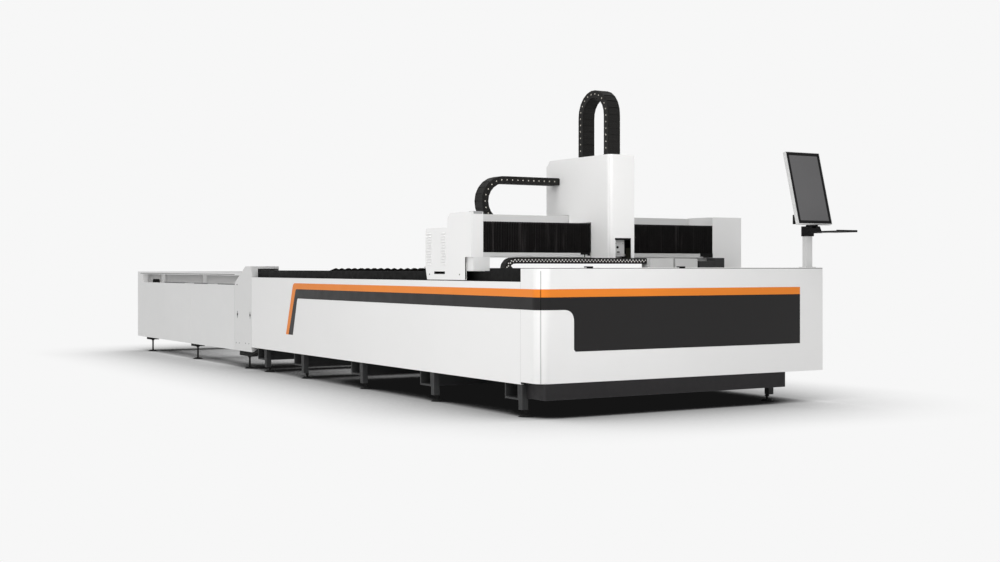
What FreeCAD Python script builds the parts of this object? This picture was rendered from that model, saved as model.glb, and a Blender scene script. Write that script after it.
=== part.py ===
import FreeCAD, Part
import math
import os

# Sheet metal laser cutting machine with a two-level pallet exchange table.
# Millimetres. While the pieces are made, x = 0 is the operator's end face, x runs towards the
# operator, y = 0 is the left side of the bed, y runs across the bed, and z = 0 is the floor.
# Every piece is moved by the same step when it is written, so that the origin ends up on the
# floor in the middle of the whole machine.

# ---- driving dimensions ------------------------------------------------------------------
BED_LENGTH = 4898.0            # operator's end face to the start of the exchange tower
BED_WIDTH = 2370.0
END_COVER_TOP = 940.0
END_COVER_BOTTOM = 221.0
END_COVER_RETURN = 219.0       # how far the end cover wraps round the sides
END_COVER_RADIUS = 80.0
END_COVER_RIGHT_RADIUS = 8.0
CORNER_GROOVE = 7.0            # width of the upright groove in the rounded corner
SIDE_TOP = 850.0
SIDE_BOTTOM = 206.0
TOWER_LENGTH = 437.0
TABLE_LENGTH = 3160.0
TABLE_BOTTOM = 161.0
TABLE_PANEL_TOP = 775.0
TABLE_RAIL_BOTTOM = 865.0
TABLE_RAIL_TOP = 895.0
SKIN = 3.0                     # sheet thickness of covers and panels
SEAM = 4.0                     # gap between neighbouring side skins
PAINT = 1.0                    # thickness of the coloured bands
FIT = 0.05                     # radial clearance of a shaft in its bore
DECK_THICKNESS = 10.0

CUT_CENTRE_Y = 1080.0          # middle of the cutting area across the bed
GIRDER_WIDTH = 240.0
GIRDER_GAP = 1620.0            # clear width between the two bed girders
GIRDER_TOP = 840.0
GIRDER_WALL = 16.0

PALLET_LENGTH = 3295.0
PALLET_WIDTH = 1530.0
PALLET_NEAR_X = -605.0         # operator's end of a pallet that is in the bed
PALLET_TRAVEL = 4460.0
PALLET_HEIGHT = 96.0
PALLET_TUBE = 50.0
SLAT_COUNT = 27
SLAT_THICKNESS = 4.0
WHEEL_RADIUS = 32.5
WHEEL_GAP = 0.4                # running clearance between a wheel and its rail
WHEEL_WIDTH = 24.0
UPPER_RAIL_TOP = 775.0
LOWER_RAIL_TOP = 585.0

GANTRY_FRONT_X = -851.0
GANTRY_BACK_X = -1503.0
GANTRY_STEP_X = -1184.0        # where the tall part of the gantry's end cover starts
GANTRY_TOP = 1315.0
GANTRY_LOW_TOP = 1216.0
BEAM_BOTTOM = 1012.0
BEAM_TOP = 1226.0
BEAM_FRONT_X = -930.0
BEAM_BACK_X = -1200.0
WALL_X = -1126.0               # white wall that stands on the beam behind the bellows
WALL_TOP = 1311.0
BELLOWS_BOTTOM = 1044.0
BELLOWS_TOP = 1252.0
BELLOWS_PITCH = 19.9
BELLOWS_START_Y = 99.0
BELLOWS_END_Y = 2081.0

CARRIAGE_LEFT_Y = 973.0
CARRIAGE_RIGHT_Y = 1185.0
CARRIAGE_FRONT_X = -620.0
CARRIAGE_BACK_X = -1418.0
CARRIAGE_TOP = 1724.0
CARRIAGE_RADIUS = 34.0         # the rounded front left edge of its cover
COLUMN_BACK_X = -843.0
SKIRT_X = -1120.0              # the cover reaches down over the bellows up to here
OVER_BELLOWS_Z = 1257.0
OVER_WALL_Z = 1316.0
CARRIAGE_Y = 1079.0            # middle of the carriage across the machine
COLUMN_BOTTOM = 1001.0
NOZZLE_TIP = 985.0

CHAIN_PITCH = 45.0
CHAIN_HEIGHT = 52.0
CHAIN_PLATE = 5.0
CHAIN_LAP = 14.0
CHAIN_RADIUS = 155.0           # bend radius at the middle of the links

MONITOR_WIDTH = 318.0
MONITOR_HEIGHT = 527.0
MONITOR_DEPTH = 30.0
MONITOR_TILT = 14.6            # degrees that the monitor leans back
MONITOR_RIM = 3.0              # white edge round the display
MONITOR_BEZEL = 13.0
POST_WIDTH = 56.0
POST_DEPTH = 40.0
POST_CENTRE_X = -70.0
POST_CENTRE_Y = 2288.0
TRAY_FRONT = 245.0
TRAY_SIDE_Y = 2455.0

# ---- worked out from them ----------------------------------------------------------------
TOWER_FAR_X = -BED_LENGTH - TOWER_LENGTH
TABLE_FAR_X = TOWER_FAR_X - TABLE_LENGTH
GIRDER_LEFT_IN = CUT_CENTRE_Y - GIRDER_GAP / 2
GIRDER_LEFT_OUT = GIRDER_LEFT_IN - GIRDER_WIDTH
GIRDER_RIGHT_IN = CUT_CENTRE_Y + GIRDER_GAP / 2
GIRDER_RIGHT_OUT = GIRDER_RIGHT_IN + GIRDER_WIDTH
MIDDLE = FreeCAD.Vector((TRAY_FRONT + TABLE_FAR_X) / 2, (TRAY_SIDE_Y - PAINT) / 2, 0)

LEG_STARTS = [-426.0, -1590.0, -2750.0, -3907.0, -4754.0]
LEG_WIDTH = 165.0
LEG_POST = 45.0
LEG_BOTTOM = 105.0
LEG_LEFT_Y = 10.0
LEG_RIGHT_Y = 2105.0
TABLE_FOOT_X = [-8160.0, -6614.0]
TOWER_FOOT_X = -5068.0


# ---- small tools -------------------------------------------------------------------------
def vec(x, y, z):
    return FreeCAD.Vector(x, y, z)


def block(x0, x1, y0, y1, z0, z1):
    return Part.makeBox(x1 - x0, y1 - y0, z1 - z0, vec(x0, y0, z0))


def prism_y(outline, y0, y1):
    """A closed (x, z) outline drawn out from y0 to y1."""
    points = [vec(x, y0, z) for x, z in outline]
    face = Part.Face(Part.makePolygon(points + points[:1]))
    return face.extrude(vec(0, y1 - y0, 0))


def prism_x(outline, x0, x1):
    """A closed (y, z) outline drawn out from x0 to x1."""
    points = [vec(x0, y, z) for y, z in outline]
    face = Part.Face(Part.makePolygon(points + points[:1]))
    return face.extrude(vec(x1 - x0, 0, 0))


def prism_z(outline, z0, z1):
    """A closed (x, y) outline drawn out from z0 to z1."""
    points = [vec(x, y, z0) for x, y in outline]
    face = Part.Face(Part.makePolygon(points + points[:1]))
    return face.extrude(vec(0, 0, z1 - z0))


def rod(start, direction, radius, length):
    return Part.makeCylinder(radius, length, start, direction)


def ring(centre, direction, radius, sides):
    """Corners of a many-sided outline round an axis that points along x, y or z."""
    up = vec(1, 0, 0) if abs(direction.z) > 0.5 else vec(0, 0, 1)
    over = direction.cross(up)
    corners = []
    for number in range(sides):
        angle = 2 * math.pi * number / sides
        corners.append(centre + up * (radius * math.cos(angle)) + over * (radius * math.sin(angle)))
    return corners


def flat_face(corners):
    return Part.Face(Part.makePolygon(corners + corners[:1]))


def faceted(start, direction, radius, length, sides=12, end_radius=None):
    """A round bar with flat sides, straight or tapered, for small or repeated pieces."""
    near = ring(start, direction, radius, sides)
    if end_radius is None:
        return flat_face(near).extrude(direction * length)
    far = ring(start + direction * length, direction, end_radius, sides)
    faces = [flat_face(near), flat_face(far)]
    for number in range(sides):
        after = (number + 1) % sides
        faces.append(flat_face([near[number], near[after], far[after], far[number]]))
    bar = Part.Solid(Part.Shell(faces))
    if bar.Volume < 0:
        bar.reverse()
    return bar


def fused(shapes):
    whole = shapes[0]
    for shape in shapes[1:]:
        whole = whole.fuse(shape)
    return whole.removeSplitter()


def group(shapes):
    """Separate solids that share one node."""
    return Part.makeCompound(shapes)


def across(shape):
    """The same piece on the other side of the cutting area's middle line."""
    return shape.mirror(vec(0, CUT_CENTRE_Y, 0), vec(0, 1, 0))


def save(name, shape):
    moved = shape.copy()
    moved.translate(MIDDLE * -1)
    moved.exportStep("parts/" + name + ".step")
    WRITTEN.append(name)


# ---- bed ---------------------------------------------------------------------------------
GIRDER_FAR_X = -4700.0
GIRDER_NEAR_X = -300.0


def bed_girder():
    """Hollow box girder along the left side; the right one is its mirror image."""
    outer = block(GIRDER_FAR_X, GIRDER_NEAR_X, GIRDER_LEFT_OUT, GIRDER_LEFT_IN,
                  SIDE_BOTTOM, GIRDER_TOP)
    inner = block(GIRDER_FAR_X, GIRDER_NEAR_X, GIRDER_LEFT_OUT + GIRDER_WALL,
                  GIRDER_LEFT_IN - GIRDER_WALL, SIDE_BOTTOM + GIRDER_WALL,
                  GIRDER_TOP - GIRDER_WALL)
    return outer.cut(inner)


LOW_TUBES = [-700.0, -1500.0, -2450.0, -3400.0, -4350.0]


def bed_cross_beams():
    """One deep beam behind the end cover and five tubes low down between the girders."""
    beams = [block(-560.0, -400.0, GIRDER_LEFT_IN, GIRDER_RIGHT_IN, 300.0, GIRDER_TOP)]
    for x in LOW_TUBES:
        beams.append(block(x, x + 120.0, GIRDER_LEFT_IN, GIRDER_RIGHT_IN, 240.0, 340.0))
    return group(beams)


def leg_channel(x):
    """A channel open upwards that crosses under the bed, with a foot post at each end."""
    wall = 12.0
    y0 = LEG_LEFT_Y
    y1 = LEG_RIGHT_Y
    profile = [(x, LEG_BOTTOM), (x + LEG_WIDTH, LEG_BOTTOM), (x + LEG_WIDTH, SIDE_BOTTOM),
               (x + LEG_WIDTH - wall, SIDE_BOTTOM), (x + LEG_WIDTH - wall, LEG_BOTTOM + wall),
               (x + wall, LEG_BOTTOM + wall), (x + wall, SIDE_BOTTOM), (x, SIDE_BOTTOM)]
    pieces = [prism_y(profile, y0, y1)]
    post_x = x + LEG_WIDTH
    for y in (y0, y1 - LEG_POST):
        pieces.append(block(post_x, post_x + LEG_POST, y, y + LEG_POST, 45.0, SIDE_BOTTOM))
    return fused(pieces)


def screw_foot(x, y, top, disc_radius):
    """Levelling foot: a dished disc, a screw and its lock nut."""
    up = vec(0, 0, 1)
    disc = faceted(vec(x, y, 0), up, disc_radius, 14.0, 14, disc_radius * 0.55)
    screw = faceted(vec(x, y, 12.0), up, 9.0, top - 12.0, 6)
    nut = faceted(vec(x, y, top - 12.0), up, 16.0, 10.0, 6)
    return fused([disc, screw, nut])


def bed_feet():
    feet = []
    for x in LEG_STARTS:
        foot_x = x + LEG_WIDTH + LEG_POST / 2
        inward = LEG_POST / 2 + 19.0
        feet.append(screw_foot(foot_x, LEG_LEFT_Y + inward, 45.0, 50.0))
        feet.append(screw_foot(foot_x, LEG_RIGHT_Y - inward, 45.0, 50.0))
    return group(feet)


def end_sill():
    """Low box beam under the end cover, standing on the first leg posts."""
    x0 = LEG_STARTS[0] + LEG_WIDTH + LEG_POST
    return block(x0, 0, 43.0, 2015.0, 118.0, END_COVER_BOTTOM)


def side_panel(y, inward):
    """Folded skin with a lip along its top and bottom; inward is +1 or -1 along y."""
    lip = 55.0
    t = SKIN * inward
    profile = [(y, SIDE_BOTTOM), (y, SIDE_TOP), (y + lip * inward * 0.45, SIDE_TOP),
               (y + lip * inward * 0.45, SIDE_TOP - SKIN), (y + t, SIDE_TOP - SKIN),
               (y + t, SIDE_BOTTOM + SKIN), (y + lip * inward * 0.45, SIDE_BOTTOM + SKIN),
               (y + lip * inward * 0.45, SIDE_BOTTOM)]
    return prism_x(profile, -BED_LENGTH + SEAM, -END_COVER_RETURN)


def corner_arc(start, centre_x, centre_y, angle, radius, end):
    """Quarter round in plan through the point at the given angle about its centre."""
    middle = vec(centre_x + radius * math.cos(angle), centre_y + radius * math.sin(angle), start.z)
    return Part.Arc(start, middle, end).toShape()


def end_cover_face(inset, z):
    """Plan of the end cover: three straight walls, a wide left and a tight right corner."""
    back = -END_COVER_RETURN
    front = -inset
    left = inset
    right = BED_WIDTH - inset
    r = END_COVER_RADIUS - inset
    q = END_COVER_RIGHT_RADIUS - inset
    points = [vec(back, left, z), vec(front - r, left, z), vec(front, left + r, z),
              vec(front, right - q, z), vec(front - q, right, z), vec(back, right, z)]
    edges = [
        Part.LineSegment(points[0], points[1]).toShape(),
        corner_arc(points[1], front - r, left + r, math.radians(-45), r, points[2]),
        Part.LineSegment(points[2], points[3]).toShape(),
        corner_arc(points[3], front - q, right - q, math.radians(45), q, points[4]),
        Part.LineSegment(points[4], points[5]).toShape(),
        Part.LineSegment(points[5], points[0]).toShape(),
    ]
    return Part.Face(Part.Wire(edges))


def corner_groove():
    """What the fine upright groove in the middle of the rounded corner takes away."""
    half = CORNER_GROOVE / 2
    cutter = block(END_COVER_RADIUS - SKIN / 2, END_COVER_RADIUS + 5.0, -half, half,
                   END_COVER_BOTTOM - 1.0, END_COVER_TOP - 20.0)
    cutter.rotate(vec(0, 0, 0), vec(0, 0, 1), -45)
    cutter.translate(vec(-END_COVER_RADIUS, END_COVER_RADIUS, 0))
    return cutter


def end_cover():
    """Deep folded cover over the operator's end, open below and behind."""
    height = END_COVER_TOP - END_COVER_BOTTOM
    outer = end_cover_face(0, END_COVER_BOTTOM).extrude(vec(0, 0, height))
    inner = end_cover_face(SKIN, END_COVER_BOTTOM).extrude(vec(0, 0, height - SKIN))
    return outer.cut(inner).cut(corner_groove())


# coloured bands: heights and places shared by the end and the side
BAND_TOP = 806.0
BAND_SPLIT = 756.0             # orange above, dark below
BAND_BOTTOM = 677.0
PLATE_BOTTOM = 415.0
PLATE_START_Y = 256.0
PLATE_END_Y = 2151.0
PLATE_CORNER = 45.0
LEG_OUTER = [(-3903.0, BAND_TOP), (-4064.0, 362.0)]     # the slanting leg's three edges
LEG_MIDDLE = [(-3845.0, BAND_SPLIT), (-4005.0, 362.0)]
LEG_INNER = [(-3812.0, BAND_BOTTOM), (-3911.0, 362.0)]


def band_round_corner(z0, z1, y_end):
    """A thin band round the left front corner, from the side to y_end on the end face."""
    height = z1 - z0
    outer = end_cover_face(-PAINT, z0).extrude(vec(0, 0, height))
    inner = end_cover_face(0, z0).extrude(vec(0, 0, height))
    skin = outer.cut(inner).cut(corner_groove())
    reach = block(-END_COVER_RETURN + 1.0, 2 * PAINT, -2 * PAINT, y_end, z0, z1)
    return skin.common(reach)


def softened(before, corner, after, reach):
    """Points of an outline's corner that is rounded over the given length of both edges."""
    start = corner + (before - corner).normalize() * reach
    end = corner + (after - corner).normalize() * reach
    points = []
    for t in (0.0, 0.2, 0.4, 0.6, 0.8, 1.0):
        point = start * (1 - t) ** 2 + corner * (2 * t * (1 - t)) + end * t ** 2
        points.append((point.x, point.z))
    return points


def leg_corner(line, reach):
    """The corner where a level edge of the band turns down into its slanting leg."""
    x, z = line[0]
    foot = vec(line[1][0], 0, line[1][1])
    return softened(vec(x + 1000.0, 0, z), vec(x, 0, z), foot, reach)


def side_band(upper, upper_reach, lower, lower_reach):
    """A band on the side between two edges that both turn down into the leg."""
    near_x = -END_COVER_RETURN - 1.0
    outline = [(near_x, upper[0][1])] + leg_corner(upper, upper_reach) + [upper[1], lower[1]]
    outline += leg_corner(lower, lower_reach)[::-1] + [(near_x, lower[0][1])]
    return prism_y(outline, -PAINT, 0)


def livery_orange():
    """The orange line: along the end, round the corner, along the side and down its leg."""
    front = band_round_corner(BAND_SPLIT, BAND_TOP, PLATE_END_Y)
    return group([front, side_band(LEG_OUTER, 36.0, LEG_MIDDLE, 18.0)])


def livery_dark():
    """The dark field: a plate on the end face and a narrower band that runs on to the side."""
    narrow = band_round_corner(BAND_BOTTOM, BAND_SPLIT, PLATE_START_Y - PLATE_CORNER)
    c = PLATE_CORNER
    y0 = PLATE_START_Y
    y1 = PLATE_END_Y
    z0 = PLATE_BOTTOM
    bevel = 12.0
    hollow = softened(vec(y0 - 1000.0, 0, BAND_BOTTOM), vec(y0, 0, BAND_BOTTOM), vec(y0, 0, z0), c)
    outline = [(y0 - c, BAND_SPLIT)] + hollow
    outline += [(y0, z0 + bevel), (y0 + bevel, z0), (y1, z0), (y1, BAND_SPLIT)]
    plate = prism_x(outline, 0, PAINT)
    return group([fused([narrow, plate]), side_band(LEG_MIDDLE, 18.0, LEG_INNER, 18.0)])


# ---- guides along the bed ----------------------------------------------------------------
RAIL_Y = 110.0
RAIL_WIDTH = 30.0
RAIL_TOP = 872.0
RAIL_COVER_Y = 66.0
RACK_Y0 = 148.0
RACK_Y1 = 174.0
PINION_RADIUS = 30.0
PINION_GAP = 0.5
PINION_Y = RACK_Y1 + PINION_GAP + PINION_RADIUS
PINION_X = -1330.0
GUIDE_FAR_X = -4690.0
GUIDE_NEAR_X = -640.0


def rail_profile(centre, base, width, height):
    """A profile rail's section, waisted at both flanks."""
    half = width / 2
    waist = half * 0.72
    return [(centre - half, base), (centre + half, base), (centre + waist, base + height * 0.45),
            (centre + half, base + height * 0.7), (centre + half, base + height),
            (centre - half, base + height), (centre - half, base + height * 0.7),
            (centre - waist, base + height * 0.45)]


def x_guides():
    rail = prism_x(rail_profile(RAIL_Y, GIRDER_TOP, RAIL_WIDTH, RAIL_TOP - GIRDER_TOP),
                   GUIDE_FAR_X, GUIDE_NEAR_X)
    rack = block(GUIDE_FAR_X, GUIDE_NEAR_X, RACK_Y0, RACK_Y1, GIRDER_TOP, 870.0)
    return group([rail, rack, across(rail), across(rack)])


def rail_covers():
    """Dark angle strips that hide the guides from the sides, with a taller plate in front."""
    y0 = RAIL_COVER_Y
    profile = [(y0 - 26.0, GIRDER_TOP), (y0 + 4.0, GIRDER_TOP), (y0 + 4.0, 915.0),
               (y0, 915.0), (y0, GIRDER_TOP + 4.0), (y0 - 26.0, GIRDER_TOP + 4.0)]
    strip = prism_x(profile, -BED_LENGTH + 1.0, -640.0)
    front = block(-632.0, -END_COVER_RETURN - 6.0, GIRDER_LEFT_OUT, GIRDER_LEFT_OUT + 4.0,
                  GIRDER_TOP, 937.0)
    return group([strip, front, across(strip), across(front)])


def pallet_rails():
    """Angle rails on two levels, from the far end of the table into the bed."""
    rails = []
    far_x = TABLE_FAR_X + 90.0
    for top in (UPPER_RAIL_TOP, LOWER_RAIL_TOP):
        profile = [(GIRDER_LEFT_IN, top), (GIRDER_LEFT_IN, top - 45.0),
                   (GIRDER_LEFT_IN + 6.0, top - 45.0), (GIRDER_LEFT_IN + 6.0, top - 8.0),
                   (GIRDER_LEFT_IN + 42.0, top - 8.0), (GIRDER_LEFT_IN + 42.0, top)]
        rail = prism_x(profile, far_x, -620.0)
        rails += [rail, across(rail)]
    return group(rails)


def front_deck():
    return block(-595.0, -END_COVER_RETURN - 6.0, GIRDER_LEFT_OUT + 4.0,
                 GIRDER_RIGHT_OUT - 4.0, GIRDER_TOP, GIRDER_TOP + DECK_THICKNESS)


def junction_boxes():
    """Two cable boxes and two smaller drive boxes on the deck behind the end cover."""
    boxes = [
        block(-595.0, -500.0, 1230.0, 1435.0, 850.0, 1006.0),
        block(-595.0, -500.0, 1446.0, 1650.0, 850.0, 1008.0),
        block(-595.0, -500.0, 1668.0, 1809.0, 850.0, 987.0),
        block(-595.0, -500.0, 1812.0, 1897.0, 850.0, 1009.0),
    ]
    return group(boxes)


def scrap_trays():
    """Three open pans, each resting on two of the low cross tubes under the cutting area."""
    pans = []
    y0 = GIRDER_LEFT_IN + 30.0
    y1 = GIRDER_RIGHT_IN - 30.0
    for x0, x1 in ((-3390.0, -2395.0), (-2390.0, -1445.0), (-1440.0, -640.0)):
        outer = block(x0, x1, y0, y1, 340.0, 430.0)
        inner = block(x0 + 4.0, x1 - 4.0, y0 + 4.0, y1 - 4.0, 344.0, 430.0)
        pans.append(outer.cut(inner))
    return group(pans)


# ---- cable chains ------------------------------------------------------------------------
def loop_point(distance, run, radius):
    """Place and direction on a U-shaped path: a run, a half turn and a run back.

    The first run goes towards -u at v = 0, the half turn goes up, and the second run comes
    back at v = 2 * radius. Returns (u, v, angle) with u = 0 where the half turn starts."""
    turn = math.pi * radius
    if distance < run:
        return run - distance, 0.0, math.pi
    if distance < run + turn:
        swept = (distance - run) / radius
        return -radius * math.sin(swept), radius - radius * math.cos(swept), math.pi - swept
    return distance - run - turn, 2 * radius, 0.0


def chain_link(pitch, width, outer_lap):
    """One link centred on the origin: its length is along x, its width along y.

    Two side plates and two cross bars. The bars of an inner link nearly close it; those of
    an outer link are shorter, because the neighbours' plates lap over it. The low side is
    the inside of the bend."""
    half = (pitch + CHAIN_LAP) / 2
    h = CHAIN_HEIGHT / 2
    nose = 9.0
    outline = [(-half, -h + nose), (-half + nose, -h), (half - nose, -h), (half, -h + nose),
               (half, h - nose), (half - nose, h), (-half + nose, h), (-half, h - nose)]
    edge = width / 2 if outer_lap else width / 2 - CHAIN_PLATE
    reach = edge - CHAIN_PLATE
    pieces = [prism_y(outline, reach, edge), prism_y(outline, -edge, -reach)]
    lengths = (11.0, 11.0) if outer_lap else (17.0, 21.0)
    for z0, bar in zip((-h, h - 5.0), lengths):
        pieces.append(block(-bar, bar, -reach, reach, z0, z0 + 5.0))
    return group(pieces)


def chain(width, first_run, second_run, radius, place):
    """Lapped links along a U-shaped path; place puts a link at (u, v, angle) of the path."""
    total = first_run + math.pi * radius + second_run
    count = round(total / CHAIN_PITCH)
    pitch = total / count
    links = []
    for number in range(count):
        u, v, angle = loop_point((number + 0.5) * pitch, first_run, radius)
        link = chain_link(pitch, width, number % 2 == 0)
        links.append(place(link, u, v, angle))
    return group(links)


def y_cable_chain():
    """Serves the carriage: a loop standing across the machine behind the beam."""
    middle_x = -1293.0
    bottom = BEAM_TOP + 2.0 + CHAIN_HEIGHT / 2
    bend_y = 499.0
    run = CARRIAGE_LEFT_Y - CHAIN_LAP / 2 - bend_y

    def place(link, u, v, angle):
        link.rotate(vec(0, 0, 0), vec(0, 1, 0), -math.degrees(angle))
        link.rotate(vec(0, 0, 0), vec(0, 0, 1), 90)
        link.translate(vec(middle_x, bend_y + u, bottom + v))
        return link

    return chain(107.0, run, run, CHAIN_RADIUS, place)


def z_cable_chain():
    """Serves the cutting head: a tall loop standing on top of the carriage."""
    middle_y = 1031.0
    far_leg_x = -982.0
    bend_z = 2004.0
    legs = bend_z - CARRIAGE_TOP - CHAIN_LAP / 2

    def place(link, u, v, angle):
        link.rotate(vec(0, 0, 0), vec(0, 1, 0), -math.degrees(angle))
        link.rotate(vec(0, 0, 0), vec(0, 1, 0), 90)
        link.translate(vec(far_leg_x + v, middle_y, bend_z - u))
        return link

    return chain(102.0, legs, legs, CHAIN_RADIUS, place)


def closed_chain(first_run, second_run, radius, pitch, height, width, narrower):
    """Closed links that meet on the planes between them; every second one is narrower.

    The path lies in the x-z plane: x is u and z is v of loop_point, and y is the width."""
    total = first_run + math.pi * radius + second_run
    count = round(total / pitch)
    links = []
    for number in range(count):
        low_side = []
        high_side = []
        for end in (number, number + 1):
            u, v, angle = loop_point(total * end / count, first_run, radius)
            dx = -math.sin(angle) * height / 2
            dz = math.cos(angle) * height / 2
            low_side.append((u - dx, v - dz))
            high_side.append((u + dx, v + dz))
        half = (width - narrower * (number % 2)) / 2
        links.append(prism_y(low_side + high_side[::-1], -half, half))
    return group(links)


def front_cable_chain():
    """Carries cables across the deck behind the end cover, from the left side to the boxes."""
    height = 40.0
    radius = 58.0
    middle_x = -564.0
    left_y = 68.0
    bend_y = left_y + radius + height / 2
    run = 1230.0 - bend_y
    band = closed_chain(run, run, radius, 46.0, height, 58.0, 8.0)
    band.rotate(vec(0, 0, 0), vec(0, 0, 1), 90)
    band.translate(vec(middle_x, bend_y, GIRDER_TOP + DECK_THICKNESS + height / 2))
    return band


X_CHAIN_Y = 2250.0
X_CHAIN_WIDTH = 90.0
TROUGH_TOP = 639.0


def x_cable_chain():
    """Serves the gantry: lies in the space between the right girder and the right panel."""
    height = 50.0
    band = closed_chain(1500.0, 90.0, 70.0, 75.0, height, X_CHAIN_WIDTH, 6.0)
    band.rotate(vec(0, 0, 0), vec(0, 0, 1), 180)
    band.translate(vec(-1150.0, X_CHAIN_Y, TROUGH_TOP + height / 2))
    return band


def x_chain_trough():
    """Shelf between the right girder and the right panel that the gantry's chain lies on."""
    y1 = BED_WIDTH - SKIN
    profile = [(GIRDER_RIGHT_OUT, TROUGH_TOP - 3.0), (y1, TROUGH_TOP - 3.0),
               (y1, TROUGH_TOP), (2327.0, TROUGH_TOP), (2327.0, 680.0), (2324.0, 680.0),
               (2324.0, TROUGH_TOP), (GIRDER_RIGHT_OUT, TROUGH_TOP)]
    return prism_x(profile, GIRDER_FAR_X, -700.0)


# ---- exchange tower ----------------------------------------------------------------------
TOWER_TOP = 952.0
TOWER_SLOPE_X = -5055.0        # where the sloping top of the tower meets its flat top
TOWER_SLOPE_Z = 796.0
TOWER_LIP = 929.0              # underside of the lip over the mouth
TOWER_RETURN = 65.0            # width of the return wall beside the mouth


def tower_outline(inset):
    """Side view of the hood: upright walls, a flat top and a sloping shoulder."""
    slope = (TOWER_TOP - TOWER_SLOPE_Z) / (TOWER_SLOPE_X - TOWER_FAR_X)
    drop = inset * math.sqrt(1 + slope * slope)
    far = TOWER_FAR_X + inset
    top = TOWER_TOP - inset
    shoulder_z = TOWER_SLOPE_Z + inset * slope - drop
    shoulder_x = TOWER_FAR_X + (top + drop - TOWER_SLOPE_Z) / slope
    return [(far, TABLE_BOTTOM), (-BED_LENGTH - inset, TABLE_BOTTOM),
            (-BED_LENGTH - inset, top), (shoulder_x, top), (far, shoulder_z)]


def tower_hood(y_out, y_in):
    """Folded hood over the end of the rails, open below, with a mouth towards the bed."""
    y0 = min(y_out, y_in)
    y1 = max(y_out, y_in)
    shell = prism_y(tower_outline(0), y0, y1)
    shell = shell.cut(prism_y(tower_outline(SKIN), y0 + SKIN, y1 - SKIN))
    side = TOWER_RETURN if y_out < y_in else -TOWER_RETURN
    mouth_y = sorted([y_out + side, y_in + (SKIN if y_out > y_in else -SKIN)])
    mouth = block(-BED_LENGTH - 10.0, -BED_LENGTH + 1.0, mouth_y[0], mouth_y[1], SIDE_BOTTOM,
                  TOWER_LIP)
    return shell.cut(mouth)


def tower_hoods():
    return group([tower_hood(0, GIRDER_LEFT_IN), tower_hood(BED_WIDTH, GIRDER_RIGHT_IN)])


def tower_frame():
    """Two hollow posts and the low beam between them; the pallets pass above it."""
    y0 = SKIN
    y1 = GIRDER_LEFT_IN - SKIN
    wall = 12.0
    x0 = TOWER_FAR_X + 20.0
    x1 = -BED_LENGTH - 20.0
    top = TOWER_SLOPE_Z - 40.0
    outer = block(x0, x1, y0, y1, TABLE_BOTTOM, top)
    core = block(x0 + wall, x1 - wall, y0 + wall, y1 - wall, TABLE_BOTTOM, top)
    post = outer.cut(core)
    sill = block(TOWER_FAR_X + 60.0, -BED_LENGTH - 60.0, GIRDER_LEFT_IN, GIRDER_RIGHT_IN,
                 TABLE_BOTTOM, 300.0)
    tie = block(x1, GIRDER_FAR_X, 80.0, 220.0, 300.0, 420.0)
    return group([post, across(post), sill, tie, across(tie)])


def tower_foot():
    """Dark sloping bracket under each side of the tower, with its levelling foot."""
    foot_top = 116.0
    outline = [(-5253.0, TABLE_BOTTOM), (-BED_LENGTH + 2.0, TABLE_BOTTOM),
               (-4760.0, SIDE_BOTTOM), (-4754.0, SIDE_BOTTOM - 40.0),
               (-4850.0, SIDE_BOTTOM - 52.0), (-4960.0, foot_top), (-5253.0, foot_top)]
    pieces = []
    for y in (20.0, 2 * CUT_CENTRE_Y - 80.0):
        pieces.append(prism_y(outline, y, y + 60.0))
        pieces.append(screw_foot(TOWER_FOOT_X, y + 30.0, foot_top, 50.0))
    return pieces


def tower_locks():
    """Two quarter-turn locks that hold the lift-off panel, with their tongues behind it."""
    locks = []
    for x in (-5258.0, -4931.0):
        knob = faceted(vec(x, 0, 500.0), vec(0, -1, 0), 14.0, PAINT, 16)
        slot = block(x - 3.5, x + 3.5, -PAINT, 0, 468.0, 532.0)
        locks.append(fused([knob, slot]))
    return group(locks)


# ---- exchange table ----------------------------------------------------------------------
TABLE_POST_X = -8295.0         # near edge of the wide corner post at the far end
TABLE_SEAM_X0 = -6813.0
TABLE_SEAM_X1 = -6630.0
TABLE_BEARERS = [-8440.0, -8200.0, -6654.0, -5460.0]
TABLE_POSTS = [-8440.0, -7400.0, -6654.0, -5460.0]
TABLE_TUBE = 80.0


def table_rim_left():
    """The white top rail and the wide corner post of the window side."""
    post = block(TABLE_FAR_X, TABLE_POST_X, 0, 55.0, TABLE_PANEL_TOP, TABLE_RAIL_TOP)
    slope = (TOWER_SLOPE_X - TOWER_FAR_X) / (TOWER_TOP - TOWER_SLOPE_Z)
    at_bottom = TOWER_FAR_X + (TABLE_RAIL_BOTTOM - TOWER_SLOPE_Z) * slope
    at_top = TOWER_FAR_X + (TABLE_RAIL_TOP - TOWER_SLOPE_Z) * slope
    rail = prism_y([(TABLE_POST_X, TABLE_RAIL_BOTTOM), (at_bottom, TABLE_RAIL_BOTTOM),
                    (at_top, TABLE_RAIL_TOP), (TABLE_POST_X, TABLE_RAIL_TOP)], 0, 55.0)
    return fused([post, rail])


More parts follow.
